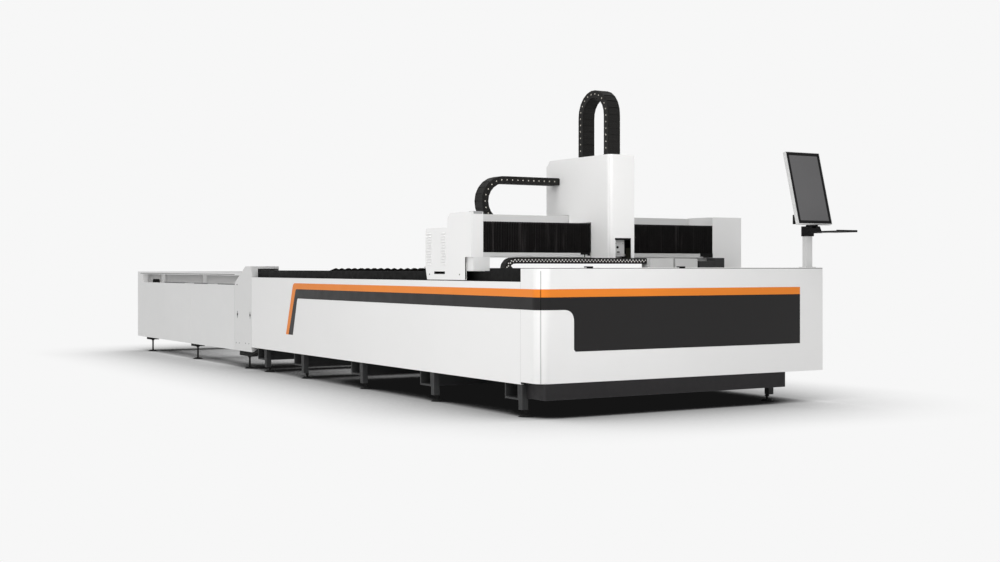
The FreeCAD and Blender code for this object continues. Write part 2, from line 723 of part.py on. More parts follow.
def table_panel_left():
    """Lower side skin with a narrow cover strip over its joint, and the rim above it."""
    lip = 25.0
    profile = [(0, TABLE_BOTTOM), (0, TABLE_PANEL_TOP), (lip, TABLE_PANEL_TOP),
               (lip, TABLE_PANEL_TOP - SKIN), (SKIN, TABLE_PANEL_TOP - SKIN),
               (SKIN, TABLE_BOTTOM + SKIN), (lip, TABLE_BOTTOM + SKIN), (lip, TABLE_BOTTOM)]
    sheet = prism_x(profile, TABLE_FAR_X, TOWER_FAR_X - SEAM)
    strip = block(TABLE_SEAM_X0, TABLE_SEAM_X1, -PAINT, 0, TABLE_BOTTOM + 12.0,
                  TABLE_PANEL_TOP - 12.0)
    return group([fused([sheet, strip]), table_rim_left()])


def table_panel_right():
    """Closed side skin up to the rail, with its rim."""
    y = BED_WIDTH
    lip = 55.0
    profile = [(y, TABLE_BOTTOM), (y, TABLE_RAIL_TOP), (y - lip, TABLE_RAIL_TOP),
               (y - lip, TABLE_RAIL_BOTTOM), (y - SKIN, TABLE_RAIL_BOTTOM),
               (y - SKIN, TABLE_BOTTOM)]
    return prism_x(profile, TABLE_FAR_X + SKIN, TOWER_FAR_X)


def table_end_panel():
    """Closed skin across the far end, with its rim and three stiffening ribs inside."""
    x = TABLE_FAR_X
    y0 = 55.0
    y1 = BED_WIDTH
    pieces = [block(x, x + SKIN, y0, y1, TABLE_BOTTOM, TABLE_RAIL_TOP),
              block(x + SKIN, x + 55.0, y0, y1 - 55.0, TABLE_RAIL_BOTTOM, TABLE_RAIL_TOP)]
    for y in (262.0, 755.0, 1250.0, 1745.0):
        pieces.append(block(x + SKIN, x + 45.0, y, y + 45.0, TABLE_BOTTOM, TABLE_RAIL_BOTTOM))
    lower_left = block(x, x + SKIN, SKIN, y0, TABLE_BOTTOM + SKIN, TABLE_PANEL_TOP - SKIN)
    pieces.append(lower_left)
    return fused(pieces)


def table_frame():
    """Square tubes: cross bearers on the feet, long tubes, and posts for the pallet rails."""
    tube = TABLE_TUBE
    low = TABLE_BOTTOM + SKIN
    sides = (GIRDER_LEFT_IN - tube, GIRDER_RIGHT_IN)
    pieces = []
    for x in TABLE_BEARERS:
        pieces.append(block(x, x + tube, SKIN, BED_WIDTH - SKIN, low, low + tube))
    for x0, x1 in zip(TABLE_BEARERS, TABLE_BEARERS[1:] + [TOWER_FAR_X]):
        for y in sides:
            pieces.append(block(x0 + tube, x1, y, y + tube, low, low + tube))
    for x in TABLE_POSTS:
        for y in sides:
            pieces.append(block(x, x + tube, y, y + tube, low + tube, UPPER_RAIL_TOP - 2.0))
    for x in (TABLE_BEARERS[0], TABLE_BEARERS[-1]):
        pieces.append(block(x + 10.0, x + 60.0, SKIN, 30.0, low + tube, TABLE_PANEL_TOP - SKIN))
    return group(pieces)


def exchange_feet():
    """Feet of the exchange table and of the tower."""
    feet = tower_foot()
    for x in TABLE_FOOT_X:
        for y in (74.0, BED_WIDTH - 74.0):
            plate = block(x - 72.0, x + 72.0, y - 48.0, y + 48.0, 133.0, TABLE_BOTTOM + SKIN)
            feet.append(fused([plate, screw_foot(x, y, 133.0, 55.0)]))
    return group(feet)


# ---- pallet drive ------------------------------------------------------------------------
SHAFT_X = TABLE_FAR_X + 220.0
SHAFT_Z = 470.0
SHAFT_Y0 = 162.0
MOTOR_Y = 147.0
MOTOR_TOP = 810.0              # the cap shows through the window of the table
SHAFT_RADIUS = 20.0
SPROCKET_RADIUS = 62.0
SPROCKET_TEETH = 14
SPROCKET_Y = [247.0, 2 * CUT_CENTRE_Y - 247.0]


def toothed_disc(radius, teeth, depth, thickness):
    """A wheel with straight-sided teeth, centred on the origin, its axis along z."""
    points = []
    step = 2 * math.pi / teeth
    for tooth in range(teeth):
        for part, reach in ((0.0, radius), (0.28, radius), (0.5, radius - depth),
                            (0.78, radius - depth)):
            angle = (tooth + part) * step
            points.append((reach * math.cos(angle), reach * math.sin(angle)))
    return prism_z(points, 0, thickness)


def drive_shaft():
    """Cross shaft at the far end of the table with a sprocket near each end."""
    shaft = rod(vec(SHAFT_X, SHAFT_Y0, SHAFT_Z), vec(0, 1, 0), SHAFT_RADIUS, 1836.0)
    pieces = [shaft]
    for y in SPROCKET_Y:
        wheel = toothed_disc(SPROCKET_RADIUS, SPROCKET_TEETH, 9.0, 14.0)
        wheel.rotate(vec(0, 0, 0), vec(1, 0, 0), -90)
        wheel.translate(vec(SHAFT_X, y - 7.0, SHAFT_Z))
        pieces.append(wheel)
    return fused(pieces)


def drive_motor():
    """Gear motor on the window side, the far bearing, and the brackets that hold them."""
    bore = rod(vec(SHAFT_X, 100.0, SHAFT_Z), vec(0, 1, 0), SHAFT_RADIUS + FIT, 1950.0)
    top = SHAFT_Z + 74.0
    gearbox = block(SHAFT_X - 50.0, SHAFT_X + 50.0, 106.0, 226.0, SHAFT_Z - 50.0, top)
    gearbox = gearbox.cut(bore)
    up = vec(0, 0, 1)
    motor = faceted(vec(SHAFT_X, MOTOR_Y, top), up, 40.0, MOTOR_TOP - 12.0 - top, 20)
    cap = faceted(vec(SHAFT_X, MOTOR_Y, MOTOR_TOP - 12.0), up, 36.0, 12.0, 20)
    far_y = 2 * CUT_CENTRE_Y - 226.0
    base = block(SHAFT_X - 50.0, SHAFT_X + 50.0, far_y, far_y + 30.0, SHAFT_Z - 50.0,
                 SHAFT_Z)
    crown = rod(vec(SHAFT_X, far_y, SHAFT_Z), vec(0, 1, 0), 50.0, 30.0)
    pillow = base.fuse(crown).cut(bore)
    pieces = [fused([gearbox, motor, cap]), pillow]
    post_x = TABLE_POSTS[0] + TABLE_TUBE
    for y0, y1 in ((106.0, 232.0), (far_y - 6.0, far_y + 36.0)):
        pieces.append(block(post_x, SHAFT_X + 50.0, y0, y1, SHAFT_Z - 62.0, SHAFT_Z - 50.0))
    return group(pieces)


# ---- pallets -----------------------------------------------------------------------------
def wheel_places(near_x):
    count = 5
    step = (PALLET_LENGTH - 240.0) / (count - 1)
    return [near_x - 120.0 - number * step for number in range(count)]


def pallet_frame(near_x, base):
    """Ladder frame of square tubes: two long sides and five cross bearers."""
    y0 = CUT_CENTRE_Y - PALLET_WIDTH / 2
    y1 = CUT_CENTRE_Y + PALLET_WIDTH / 2
    far_x = near_x - PALLET_LENGTH
    top = base + PALLET_TUBE
    pieces = [block(far_x, near_x, y0, y0 + PALLET_TUBE, base, top),
              block(far_x, near_x, y1 - PALLET_TUBE, y1, base, top)]
    bays = 4
    step = (PALLET_LENGTH - PALLET_TUBE) / bays
    for number in range(bays + 1):
        x = far_x + number * step
        pieces.append(block(x, x + PALLET_TUBE, y0 + PALLET_TUBE, y1 - PALLET_TUBE, base, top))
    for x in wheel_places(near_x):
        lug = block(x - 22.0, x + 22.0, y0, y0 + 10.0, base - 50.0, base)
        pieces += [lug, across(lug)]
    return group(pieces)


def pallet_slats(near_x, base, teeth):
    """Upright toothed strips that carry the sheet, slotted into the long side tubes."""
    y0 = CUT_CENTRE_Y - PALLET_WIDTH / 2 + 6.0
    y1 = CUT_CENTRE_Y + PALLET_WIDTH / 2 - 6.0
    foot = base + PALLET_TUBE
    top = base + PALLET_HEIGHT
    root = top - 24.0
    step = (y1 - y0) / teeth
    outline = [(y1, foot), (y0, foot), (y0, root)]
    for tooth in range(teeth):
        outline.append((y0 + (tooth + 0.5) * step, top))
        outline.append((y0 + (tooth + 1) * step, root))
    slats = []
    pitch = (PALLET_LENGTH - 60.0) / (SLAT_COUNT - 1)
    for number in range(SLAT_COUNT):
        x = near_x - 28.0 - number * pitch
        slats.append(prism_x(outline, x - SLAT_THICKNESS, x))
    return group(slats)


def pallet_wheels(near_x, rail_top):
    """Rollers with their stub axles along both long sides."""
    wheels = []
    axle_z = rail_top + WHEEL_RADIUS
    side = CUT_CENTRE_Y - PALLET_WIDTH / 2
    for x in wheel_places(near_x):
        wheel = faceted(vec(x, side - 2.0, axle_z), vec(0, -1, 0), WHEEL_RADIUS - WHEEL_GAP,
                        WHEEL_WIDTH, 16)
        hub = faceted(vec(x, side, axle_z), vec(0, -1, 0), 9.0, 2.0, 6)
        piece = fused([wheel, hub])
        wheels += [piece, across(piece)]
    return group(wheels)


# ---- gantry ------------------------------------------------------------------------------
SADDLE_BACK_X = -1400.0
SADDLE_FRONT_X = -926.0
BLOCK_HEIGHT_TOP = 917.0


def gantry_beam():
    """Hollow box beam, open at its ends, with the chain shelf along its back."""
    y0 = 60.0
    y1 = 2 * CUT_CENTRE_Y - y0
    wall = 10.0
    outer = block(BEAM_BACK_X, BEAM_FRONT_X, y0, y1, BEAM_BOTTOM, BEAM_TOP)
    inner = block(BEAM_BACK_X + wall, BEAM_FRONT_X - wall, y0, y1, BEAM_BOTTOM + wall,
                  BEAM_TOP - wall)
    shelf = block(-1362.0, BEAM_BACK_X, 290.0, 1090.0, BEAM_TOP - 2.0, BEAM_TOP + 2.0)
    hem = block(-1362.0, -1358.0, 290.0, 1090.0, BEAM_TOP + 2.0, BEAM_TOP + 26.0)
    return fused([outer.cut(inner), shelf, hem])


def gantry_fascia():
    """White wall along the top of the beam, and the channel in front that the bellows lie in."""
    front = GANTRY_FRONT_X + 1.0
    wall = [(WALL_X, BEAM_TOP), (WALL_X, WALL_TOP), (WALL_X - 24.0, WALL_TOP),
            (WALL_X - 24.0, WALL_TOP - SKIN), (WALL_X - SKIN, WALL_TOP - SKIN),
            (WALL_X - SKIN, BEAM_TOP)]
    channel = [(BEAM_FRONT_X, BEAM_BOTTOM), (front, BEAM_BOTTOM),
               (front, BELLOWS_BOTTOM - 2.0), (BEAM_FRONT_X, BELLOWS_BOTTOM - 2.0)]
    return group([prism_y(wall, BELLOWS_START_Y, BELLOWS_END_Y),
                  prism_y(channel, BELLOWS_START_Y, BELLOWS_END_Y)])


def saddle(nose_length):
    """Left foot of the gantry with the two carriages that run on the rail."""
    plan = [(SADDLE_BACK_X, 22.0), (SADDLE_FRONT_X + nose_length, 22.0),
            (SADDLE_FRONT_X + nose_length, 150.0), (SADDLE_FRONT_X, 150.0),
            (SADDLE_FRONT_X, 190.0), (SADDLE_FRONT_X - 170.0, 288.0), (SADDLE_BACK_X, 288.0)]
    if nose_length == 0:
        plan.pop(2)
        plan.pop(2)
    base = prism_z(plan, BLOCK_HEIGHT_TOP, BEAM_BOTTOM)
    bore = rod(vec(PINION_X, PINION_Y, BLOCK_HEIGHT_TOP - 1.0), vec(0, 0, 1), 15.0 + FIT,
               BEAM_BOTTOM - BLOCK_HEIGHT_TOP + 2.0)
    body = base.cut(bore)
    clear = 0.6
    half = RAIL_WIDTH / 2
    profile = [(RAIL_Y - half - 16.0, RAIL_TOP - 18.0), (RAIL_Y - half - clear, RAIL_TOP - 18.0),
               (RAIL_Y - half - clear, RAIL_TOP + clear), (RAIL_Y + half + clear, RAIL_TOP + clear),
               (RAIL_Y + half + clear, RAIL_TOP - 18.0), (RAIL_Y + half + 16.0, RAIL_TOP - 18.0),
               (RAIL_Y + half + 16.0, BLOCK_HEIGHT_TOP), (RAIL_Y - half - 16.0, BLOCK_HEIGHT_TOP)]
    carriages = [prism_x(profile, x, x + 110.0) for x in (-1250.0, -1010.0)]
    return [body] + carriages


def gantry_saddles():
    left = saddle(GANTRY_FRONT_X - SADDLE_FRONT_X)
    return group(left + [across(shape) for shape in saddle(0)])


def cover_outline(grow, nose_z):
    """Side view of a gantry end cover; grow moves every edge outwards.

    The nose over the bed's deck reaches down to nose_z."""
    chamfer = 36.0
    back = GANTRY_BACK_X - grow
    step = GANTRY_STEP_X - grow
    front = GANTRY_FRONT_X + grow
    top = GANTRY_TOP + grow
    low_top = GANTRY_LOW_TOP + grow
    foot = COVER_FOOT_X + grow
    bottom = COVER_BOTTOM - grow
    return [(back + 26.0, bottom), (foot, bottom), (foot, nose_z - grow), (front, nose_z - grow),
            (front, top),
            (step + chamfer, top), (step, top - chamfer), (step, low_top),
            (back + 14.0, low_top), (back, low_top - 14.0), (back, 946.0)]


LOUVRE_COUNT = 12
LOUVRE_PITCH = 19.4
LOUVRE_FIRST_Z = 960.0
LOUVRE_HEIGHT = 11.0
LOUVRE_COLUMNS = [(-1478.0, -1414.0), (-1266.0, -1204.0)]
COVER_SKIN_Y = 7.0
COVER_BOTTOM = 856.0
COVER_FOOT_X = -936.0
LEFT_NOSE_Z = 1011.0
RIGHT_NOSE_Z = 925.0


def louvre(x0, x1, z):
    """A pressed hood over a slot: it stands out at its top and closes at its foot."""
    profile = [(COVER_SKIN_Y, z), (COVER_SKIN_Y, z + LOUVRE_HEIGHT),
               (COVER_SKIN_Y - 6.0, z + LOUVRE_HEIGHT * 0.2), (COVER_SKIN_Y - 6.0, z)]
    return prism_x(profile, x0, x1)


def room_inside_covers(saddle_front):
    """What the end covers leave free on the left: rail cover, saddle and beam."""
    low = block(GANTRY_BACK_X - 10.0, BEAM_FRONT_X + 20.0, 60.0, 300.0, 850.0, 920.0)
    saddles = block(SADDLE_BACK_X - 2.0, saddle_front, 20.0, 300.0, 850.0, BEAM_BOTTOM)
    beam = block(BEAM_BACK_X - 2.0, BEAM_FRONT_X + 2.0, 58.0, 300.0, BEAM_BOTTOM - 2.0,
                 BEAM_TOP + 2.0)
    return low.fuse(saddles).fuse(beam)


def open_foot(y0, y1):
    """What keeps a gantry end cover open below."""
    return block(GANTRY_BACK_X + 26.0 + SKIN, COVER_FOOT_X - SKIN, y0, y1, COVER_BOTTOM - 1.0,
                 COVER_BOTTOM + SKIN)


def gantry_cover_left():
    """Ventilated end cover over the left drive: a side box and a lower box behind it."""
    y0 = COVER_SKIN_Y
    y1 = BELLOWS_START_Y
    y2 = 288.0
    rear_x = GANTRY_BACK_X + 26.0
    outer = prism_y(cover_outline(0, LEFT_NOSE_Z), y0, y1)
    rear = block(rear_x, GANTRY_STEP_X, y1, y2, 925.0, GANTRY_LOW_TOP)
    shell = outer.fuse(rear)
    shell = shell.cut(prism_y(cover_outline(-SKIN, LEFT_NOSE_Z), y0 + SKIN, y1 - SKIN))
    shell = shell.cut(open_foot(y0 + SKIN, y1 - SKIN))
    shell = shell.cut(block(rear_x + SKIN, GANTRY_STEP_X, y1 - 20.0, y2 - SKIN, 925.0,
                            GANTRY_LOW_TOP - SKIN))
    shell = shell.cut(room_inside_covers(GANTRY_FRONT_X + 10.0))
    slot = block(-1377.0, -1217.0, 0, y0 + SKIN + 1.0, 895.0, 913.0)
    shell = shell.cut(slot)
    hoods = []
    for x0, x1 in LOUVRE_COLUMNS:
        for number in range(LOUVRE_COUNT):
            z = LOUVRE_FIRST_Z + number * LOUVRE_PITCH
            hoods.append(louvre(x0, x1, z))
    return group([shell.removeSplitter()] + hoods)


def gantry_cover_right():
    """Plain end cover over the right drive, with the arm of the long cable chain below."""
    y1 = BED_WIDTH - 10.0
    y0 = BELLOWS_END_Y
    shell = prism_y(cover_outline(0, RIGHT_NOSE_Z), y0, y1)
    shell = shell.cut(prism_y(cover_outline(-SKIN, RIGHT_NOSE_Z), y0 + SKIN, y1 - SKIN))
    shell = shell.cut(open_foot(y0 + SKIN, y1 - SKIN))
    shell = shell.cut(across(room_inside_covers(SADDLE_FRONT_X + 2.0)))
    chain_top = TROUGH_TOP + 50.0 + 140.0
    arm_x0 = -1290.0
    arm_x1 = -1200.0
    side = X_CHAIN_Y - X_CHAIN_WIDTH / 2
    foot = block(arm_x0, arm_x1, side, side + X_CHAIN_WIDTH, chain_top, chain_top + 8.0)
    riser = block(arm_x0, arm_x1, side, side + 10.0, chain_top + 8.0, GANTRY_LOW_TOP - SKIN)
    return group([shell.removeSplitter(), fused([foot, riser])])


def servo(x, y, z0, size, body_height):
    """Upright servo motor: flange, gearbox, square body and round end cap."""
    half = size / 2
    gearbox = faceted(vec(x, y, z0), vec(0, 0, 1), half * 0.9, 60.0, 20)
    body = block(x - half, x + half, y - half, y + half, z0 + 60.0, z0 + 60.0 + body_height)
    cap = faceted(vec(x, y, z0 + 60.0 + body_height), vec(0, 0, 1), half * 0.7, 20.0, 20)
    return fused([gearbox, body, cap])


def x_motors():
    left = servo(PINION_X, PINION_Y, BEAM_BOTTOM, 100.0, 90.0)
    return group([left, across(left)])


def x_pinion():
    gear = toothed_disc(PINION_RADIUS, 12, 6.0, 24.0)
    gear.translate(vec(PINION_X, PINION_Y, 844.0))
    shaft = rod(vec(PINION_X, PINION_Y, 868.0), vec(0, 0, 1), 15.0, BEAM_BOTTOM - 869.0)
    return fused([gear, shaft])


def y_guides():
    """Two rails and the rack on the front of the beam."""
    pieces = []
    for z in (1075.0, 1205.0):
        profile = [(BEAM_FRONT_X, z - 13.0), (BEAM_FRONT_X + 20.0, z - 13.0),
                   (BEAM_FRONT_X + 20.0, z + 13.0), (BEAM_FRONT_X, z + 13.0)]
        pieces.append(prism_y(profile, 110.0, 2050.0))
    pieces.append(block(BEAM_FRONT_X, BEAM_FRONT_X + 22.0, 110.0, 2050.0, Y_RACK_TOP - 20.0,
                        Y_RACK_TOP))
    return group(pieces)


def bellows(y0, y1):
    """Pleated strip: a zigzag front and a flat back, standing between two thin frames."""
    plate = 4.0
    crest = GANTRY_FRONT_X - 1.0
    valley = crest - 14.0
    back = crest - 30.0
    count = max(2, int(round((y1 - y0 - 2 * plate) / BELLOWS_PITCH)))
    pitch = (y1 - y0 - 2 * plate) / count
    outline = [(back, y0), (crest, y0), (crest, y0 + plate)]
    for number in range(count):
        start = y0 + plate + number * pitch
        outline.append((valley, start + pitch * 0.5))
        outline.append((crest, start + pitch))
    outline += [(crest, y1), (back, y1)]
    return prism_z(outline, BELLOWS_BOTTOM, BELLOWS_TOP)


Y_RACK_TOP = 1120.0
Y_PINION_RADIUS = 26.0
Y_PINION_Z = Y_RACK_TOP + 0.5 + Y_PINION_RADIUS


# ---- carriage ----------------------------------------------------------------------------
SCREW_X = -770.0
SCREW_RADIUS = 9.0


def carriage_plate():
    """Upright plate on four guide carriages, with the bracket that carries the column."""
    plate = block(-900.0, -880.0, CARRIAGE_LEFT_Y + 6.0, CARRIAGE_RIGHT_Y - 6.0,
                  BELLOWS_BOTTOM + 2.0, BELLOWS_TOP - 2.0)
    bore = rod(vec(-901.0, CARRIAGE_Y, Y_PINION_Z), vec(1, 0, 0), 15.0 + FIT, 22.0)
    pieces = [plate.cut(bore)]
    for z in (1075.0, 1205.0):
        for y in (CARRIAGE_LEFT_Y + 8.0, CARRIAGE_RIGHT_Y - 78.0):
            profile = [(-926.0, z - 24.0), (-926.0, z - 13.6), (-909.4, z - 13.6),
                       (-909.4, z + 13.6), (-926.0, z + 13.6), (-926.0, z + 24.0),
                       (-900.0, z + 24.0), (-900.0, z - 24.0)]
            pieces.append(prism_y(profile, y, y + 70.0))
    bridge = block(-880.0, -840.0, CARRIAGE_LEFT_Y + 10.0, CARRIAGE_RIGHT_Y - 10.0, 1180.0,
                   BELLOWS_TOP - 4.0)
    spine = block(-840.0, -826.0, CARRIAGE_LEFT_Y + 6.0, CARRIAGE_RIGHT_Y - 6.0,
                  COLUMN_BOTTOM + 60.0, 1600.0)
    rails = [block(-826.0, -812.0, y, y + 18.0, 1080.0, 1500.0) for y in (1010.0, 1130.0)]
    return group(pieces + [bridge, spine] + rails)


def column_outline():
    """Side view of the carriage cover: a front column and a box over the beam."""
    front = CARRIAGE_FRONT_X
    back = CARRIAGE_BACK_X
    top = CARRIAGE_TOP
    chamfer = 46.0
    return [(front, COLUMN_BOTTOM), (front, top), (back + chamfer, top), (back, top - chamfer),
            (back, OVER_WALL_Z), (SKIRT_X, OVER_WALL_Z), (SKIRT_X, OVER_BELLOWS_Z),
            (COLUMN_BACK_X, OVER_BELLOWS_Z), (COLUMN_BACK_X, COLUMN_BOTTOM)]


def round_front_left(shape, x, y, radius):
    """Round the upright edge where a piece's front face x meets its left face y."""
    edges = [edge for edge in shape.Edges
             if abs(edge.BoundBox.XMin - x) < 0.1 and abs(edge.BoundBox.XMax - x) < 0.1
             and abs(edge.BoundBox.YMax - y) < 0.1 and edge.BoundBox.ZLength > 500.0]
    return shape.makeFillet(radius, edges)


def carriage_cover():
    """One-piece cover with a rounded front edge and the window over the cutting head."""
    y0 = CARRIAGE_LEFT_Y
    y1 = CARRIAGE_RIGHT_Y
    outer = prism_y(column_outline(), y0, y1)
    outer = round_front_left(outer, CARRIAGE_FRONT_X, y0, CARRIAGE_RADIUS)
    column = block(COLUMN_BACK_X + SKIN, CARRIAGE_FRONT_X - SKIN, y0 + SKIN, y1 - SKIN,
                   COLUMN_BOTTOM - 1.0, CARRIAGE_TOP - SKIN)
    column = round_front_left(column, CARRIAGE_FRONT_X - SKIN, y0 + SKIN, CARRIAGE_RADIUS - SKIN)
    box = block(CARRIAGE_BACK_X + SKIN + 46.0, COLUMN_BACK_X + SKIN, y0 + SKIN, y1 - SKIN,
                OVER_WALL_Z + SKIN, CARRIAGE_TOP - SKIN)
    skirt = block(SKIRT_X + SKIN, COLUMN_BACK_X + SKIN, y0 + SKIN, y1 - SKIN,
                  OVER_BELLOWS_Z + SKIN, OVER_WALL_Z + SKIN + 1.0)
    shell = outer.cut(column).cut(box).cut(skirt)
    window = block(CARRIAGE_FRONT_X - 20.0, CARRIAGE_FRONT_X + 5.0, 1024.0, 1156.0,
                   COLUMN_BOTTOM - 1.0, 1144.0)
    back_opening = block(COLUMN_BACK_X - 7.0, COLUMN_BACK_X + 5.0, y0 + 8.0, y1 - 8.0,
                         COLUMN_BOTTOM - 1.0, 1252.0)
    return shell.cut(window).cut(back_opening)


def carriage_motors():
    """The motor of the carriage drive over the beam and the motor of the head drive."""
    y_gearbox = block(-880.0, -845.0, 1040.0, 1118.0, 1118.0, 1178.0)
    z_motor = servo(SCREW_X, CARRIAGE_Y, 1500.0, 70.0, 70.0)
    shelf = block(-826.0, -730.0, 1030.0, 1128.0, 1490.0, 1500.0)
    screw = rod(vec(SCREW_X, CARRIAGE_Y, 1160.0), vec(0, 0, 1), SCREW_RADIUS, 330.0)
    return group([y_gearbox, fused([z_motor, shelf, screw])])


def y_pinion():
    gear = toothed_disc(Y_PINION_RADIUS, 12, 5.0, 14.0)
    gear.rotate(vec(0, 0, 0), vec(0, 1, 0), 90)
    gear.translate(vec(-925.0, CARRIAGE_Y, Y_PINION_Z))
    shaft = rod(vec(-911.0, CARRIAGE_Y, Y_PINION_Z), vec(1, 0, 0), 15.0, 30.6)
    return fused([gear, shaft])


# ---- cutting head ------------------------------------------------------------------------
def z_slide():
    """Plate on the head's guides with the nut of the drive screw."""
    plate = block(-811.4, -796.0, 1004.0, 1154.0, 1075.0, 1255.0)
    nut = block(-796.0, -745.0, 1049.0, 1109.0, 1215.0, 1255.0)
    bore = rod(vec(SCREW_X, CARRIAGE_Y, 1210.0), vec(0, 0, 1), SCREW_RADIUS + FIT, 50.0)
    return fused([plate, nut.cut(bore)])


HEAD_X = -700.0
HEAD_Y = 1080.0


def head_round(z, radius, length, end_radius=None):
    """An upright round piece on the cutting head's axis."""
    return faceted(vec(HEAD_X, HEAD_Y, z), vec(0, 0, 1), radius, length, 16, end_radius)


def laser_head():
    """Cutting head: collimator, focusing box and the nozzle carrier below."""
    cheeks = [block(-796.0, -745.0, y0, y0 + 20.0, 1090.0, 1130.0) for y0 in (1036.0, 1104.0)]
    focus_box = block(-745.0, -655.0, 1036.0, 1124.0, 1018.0, 1205.0)
    collimator = head_round(1205.0, 32.0, 90.0)
    fibre_plug = head_round(1295.0, 20.0, 70.0)
    carrier = head_round(1006.0, 26.0, 12.0, 36.0)
    return fused([focus_box, collimator, fibre_plug, carrier] + cheeks)


def nozzle():
    collar = head_round(1000.0, 20.0, 6.0)
    cone = head_round(NOZZLE_TIP, 6.0, 15.0, 17.0)
    bore = head_round(NOZZLE_TIP - 1.0, 2.0, 22.0)
    return fused([collar, cone]).cut(bore)


# ---- operator's panel --------------------------------------------------------------------
def upright(depth, width, z0, z1):
    """An upright block on the post's axis."""
    return block(POST_CENTRE_X - depth / 2, POST_CENTRE_X + depth / 2,
                 POST_CENTRE_Y - width / 2, POST_CENTRE_Y + width / 2, z0, z1)


def hmi_post():
    """Rectangular tube with a foot plate and a bored cap."""
    tube = upright(POST_DEPTH, POST_WIDTH, END_COVER_TOP, 1160.0)
    inside = upright(POST_DEPTH - 6.0, POST_WIDTH - 6.0, END_COVER_TOP, 1154.0)
    foot_plate = upright(POST_DEPTH + 36.0, POST_WIDTH + 36.0, END_COVER_TOP, END_COVER_TOP + 5.0)
    bore = rod(vec(POST_CENTRE_X, POST_CENTRE_Y, 1150.0), vec(0, 0, 1), SPIGOT + FIT, 20.0)
    return fused([tube.cut(inside), foot_plate.cut(inside)]).cut(bore)


BRACKET_BOTTOM = 1160.4
SPIGOT = 14.0                  # radius of the swivel's spigot in the top of the post
TILT_X = -35.0
TILT_Z = 1232.0
PIN_RADIUS = 5.0
HEAD_BACK_X = -98.0
HEAD_FRONT_X = -5.0


def hmi_bracket():
    """Dark swivel head on the post: a cap, a wide block with a slot, and two tilt ears."""
    left = POST_CENTRE_Y - 32.0
    cap = block(HEAD_BACK_X, POST_CENTRE_X + 24.0, left, POST_CENTRE_Y + 40.0, BRACKET_BOTTOM,
                1182.0)
    head = prism_x([(left, 1182.0), (2368.0, 1182.0), (2345.0, 1230.0), (left, 1230.0)],
                   HEAD_BACK_X, HEAD_FRONT_X)
    slot = block(HEAD_BACK_X - 1.0, HEAD_FRONT_X + 1.0, POST_CENTRE_Y - 22.0,
                 POST_CENTRE_Y + 22.0, 1216.0, 1231.0)
    ears = []
    for y0, y1 in ((left, POST_CENTRE_Y - 22.0), (POST_CENTRE_Y + 22.0, 2345.0)):
        ear = prism_y([(TILT_X - 22.0, 1216.0), (TILT_X + 14.0, 1216.0),
                       (TILT_X + 10.0, TILT_Z + 12.0), (TILT_X - 14.0, TILT_Z + 12.0)], y0, y1)
        ears.append(ear)
    pin = rod(vec(TILT_X, POST_CENTRE_Y - 38.0, TILT_Z), vec(0, 1, 0), PIN_RADIUS, 76.0)
    spigot = rod(vec(POST_CENTRE_X, POST_CENTRE_Y, 1130.0), vec(0, 0, 1), SPIGOT, 40.0)
    return fused([spigot, cap, head.cut(slot)] + ears + [pin])


def leaned(shape):
    """Lean an upright piece back about the monitor's lower front edge."""
    shape.rotate(vec(MONITOR_FRONT, 0, MONITOR_BOTTOM), vec(0, 1, 0), -MONITOR_TILT)
    return shape


MONITOR_FRONT = 13.0
MONITOR_BOTTOM = 1245.0
MONITOR_LEFT_Y = POST_CENTRE_Y - MONITOR_WIDTH / 2


def front_panel(x0, x1, border):
    """A flat block as large as the monitor's front less a border on all sides."""
    return block(x0, x1, MONITOR_LEFT_Y + border, MONITOR_LEFT_Y + MONITOR_WIDTH - border,
                 MONITOR_BOTTOM + border, MONITOR_BOTTOM + MONITOR_HEIGHT - border)


def monitor_case():
    """Flat white case with a box and a lug on its back; the display lies in its front."""
    back = MONITOR_FRONT - MONITOR_DEPTH
    case = front_panel(back, MONITOR_FRONT, 0)
    recess = front_panel(MONITOR_FRONT - 3.0, MONITOR_FRONT + 1.0, MONITOR_RIM)
    back_box = block(back - 26.0, back, POST_CENTRE_Y - 90.0, POST_CENTRE_Y + 90.0, 1330.0,
                     1640.0)
    case = leaned(fused([case.cut(recess), back_box]))
    lug = prism_y([(TILT_X - 12.0, TILT_Z - 10.0), (TILT_X + 12.0, TILT_Z - 10.0),
                   (TILT_X + 26.0, TILT_Z + 20.0), (TILT_X - 8.0, 1360.0),
                   (TILT_X - 36.0, 1360.0)], POST_CENTRE_Y - 21.0, POST_CENTRE_Y + 21.0)
    bore = rod(vec(TILT_X, POST_CENTRE_Y - 30.0, TILT_Z), vec(0, 1, 0), PIN_RADIUS + FIT, 60.0)
    return fused([case, lug]).cut(bore)


def monitor_screen():
    """The display with the black frame that stands a little proud of it."""
    panel = front_panel(MONITOR_FRONT - 3.0, MONITOR_FRONT - 0.4, MONITOR_RIM)
    sunk = front_panel(MONITOR_FRONT - 1.4, MONITOR_FRONT + 1.0, MONITOR_RIM + MONITOR_BEZEL)
    return leaned(panel.cut(sunk))


def keyboard_tray():
    """Thin tray on the bracket's right, with a raised rim along its front."""
    tray = block(30.2, TRAY_FRONT, 2258.0, TRAY_SIDE_Y, 1184.0, 1194.0)
    tongue = block(HEAD_FRONT_X, 30.2, POST_CENTRE_Y + 30.0, TRAY_SIDE_Y - 60.0, 1184.0, 1194.0)
    rim = block(TRAY_FRONT - 6.0, TRAY_FRONT, 2258.0, TRAY_SIDE_Y, 1194.0, 1199.0)
    return fused([tray, tongue, rim])


# ---- write every piece -------------------------------------------------------------------
WRITTEN = []


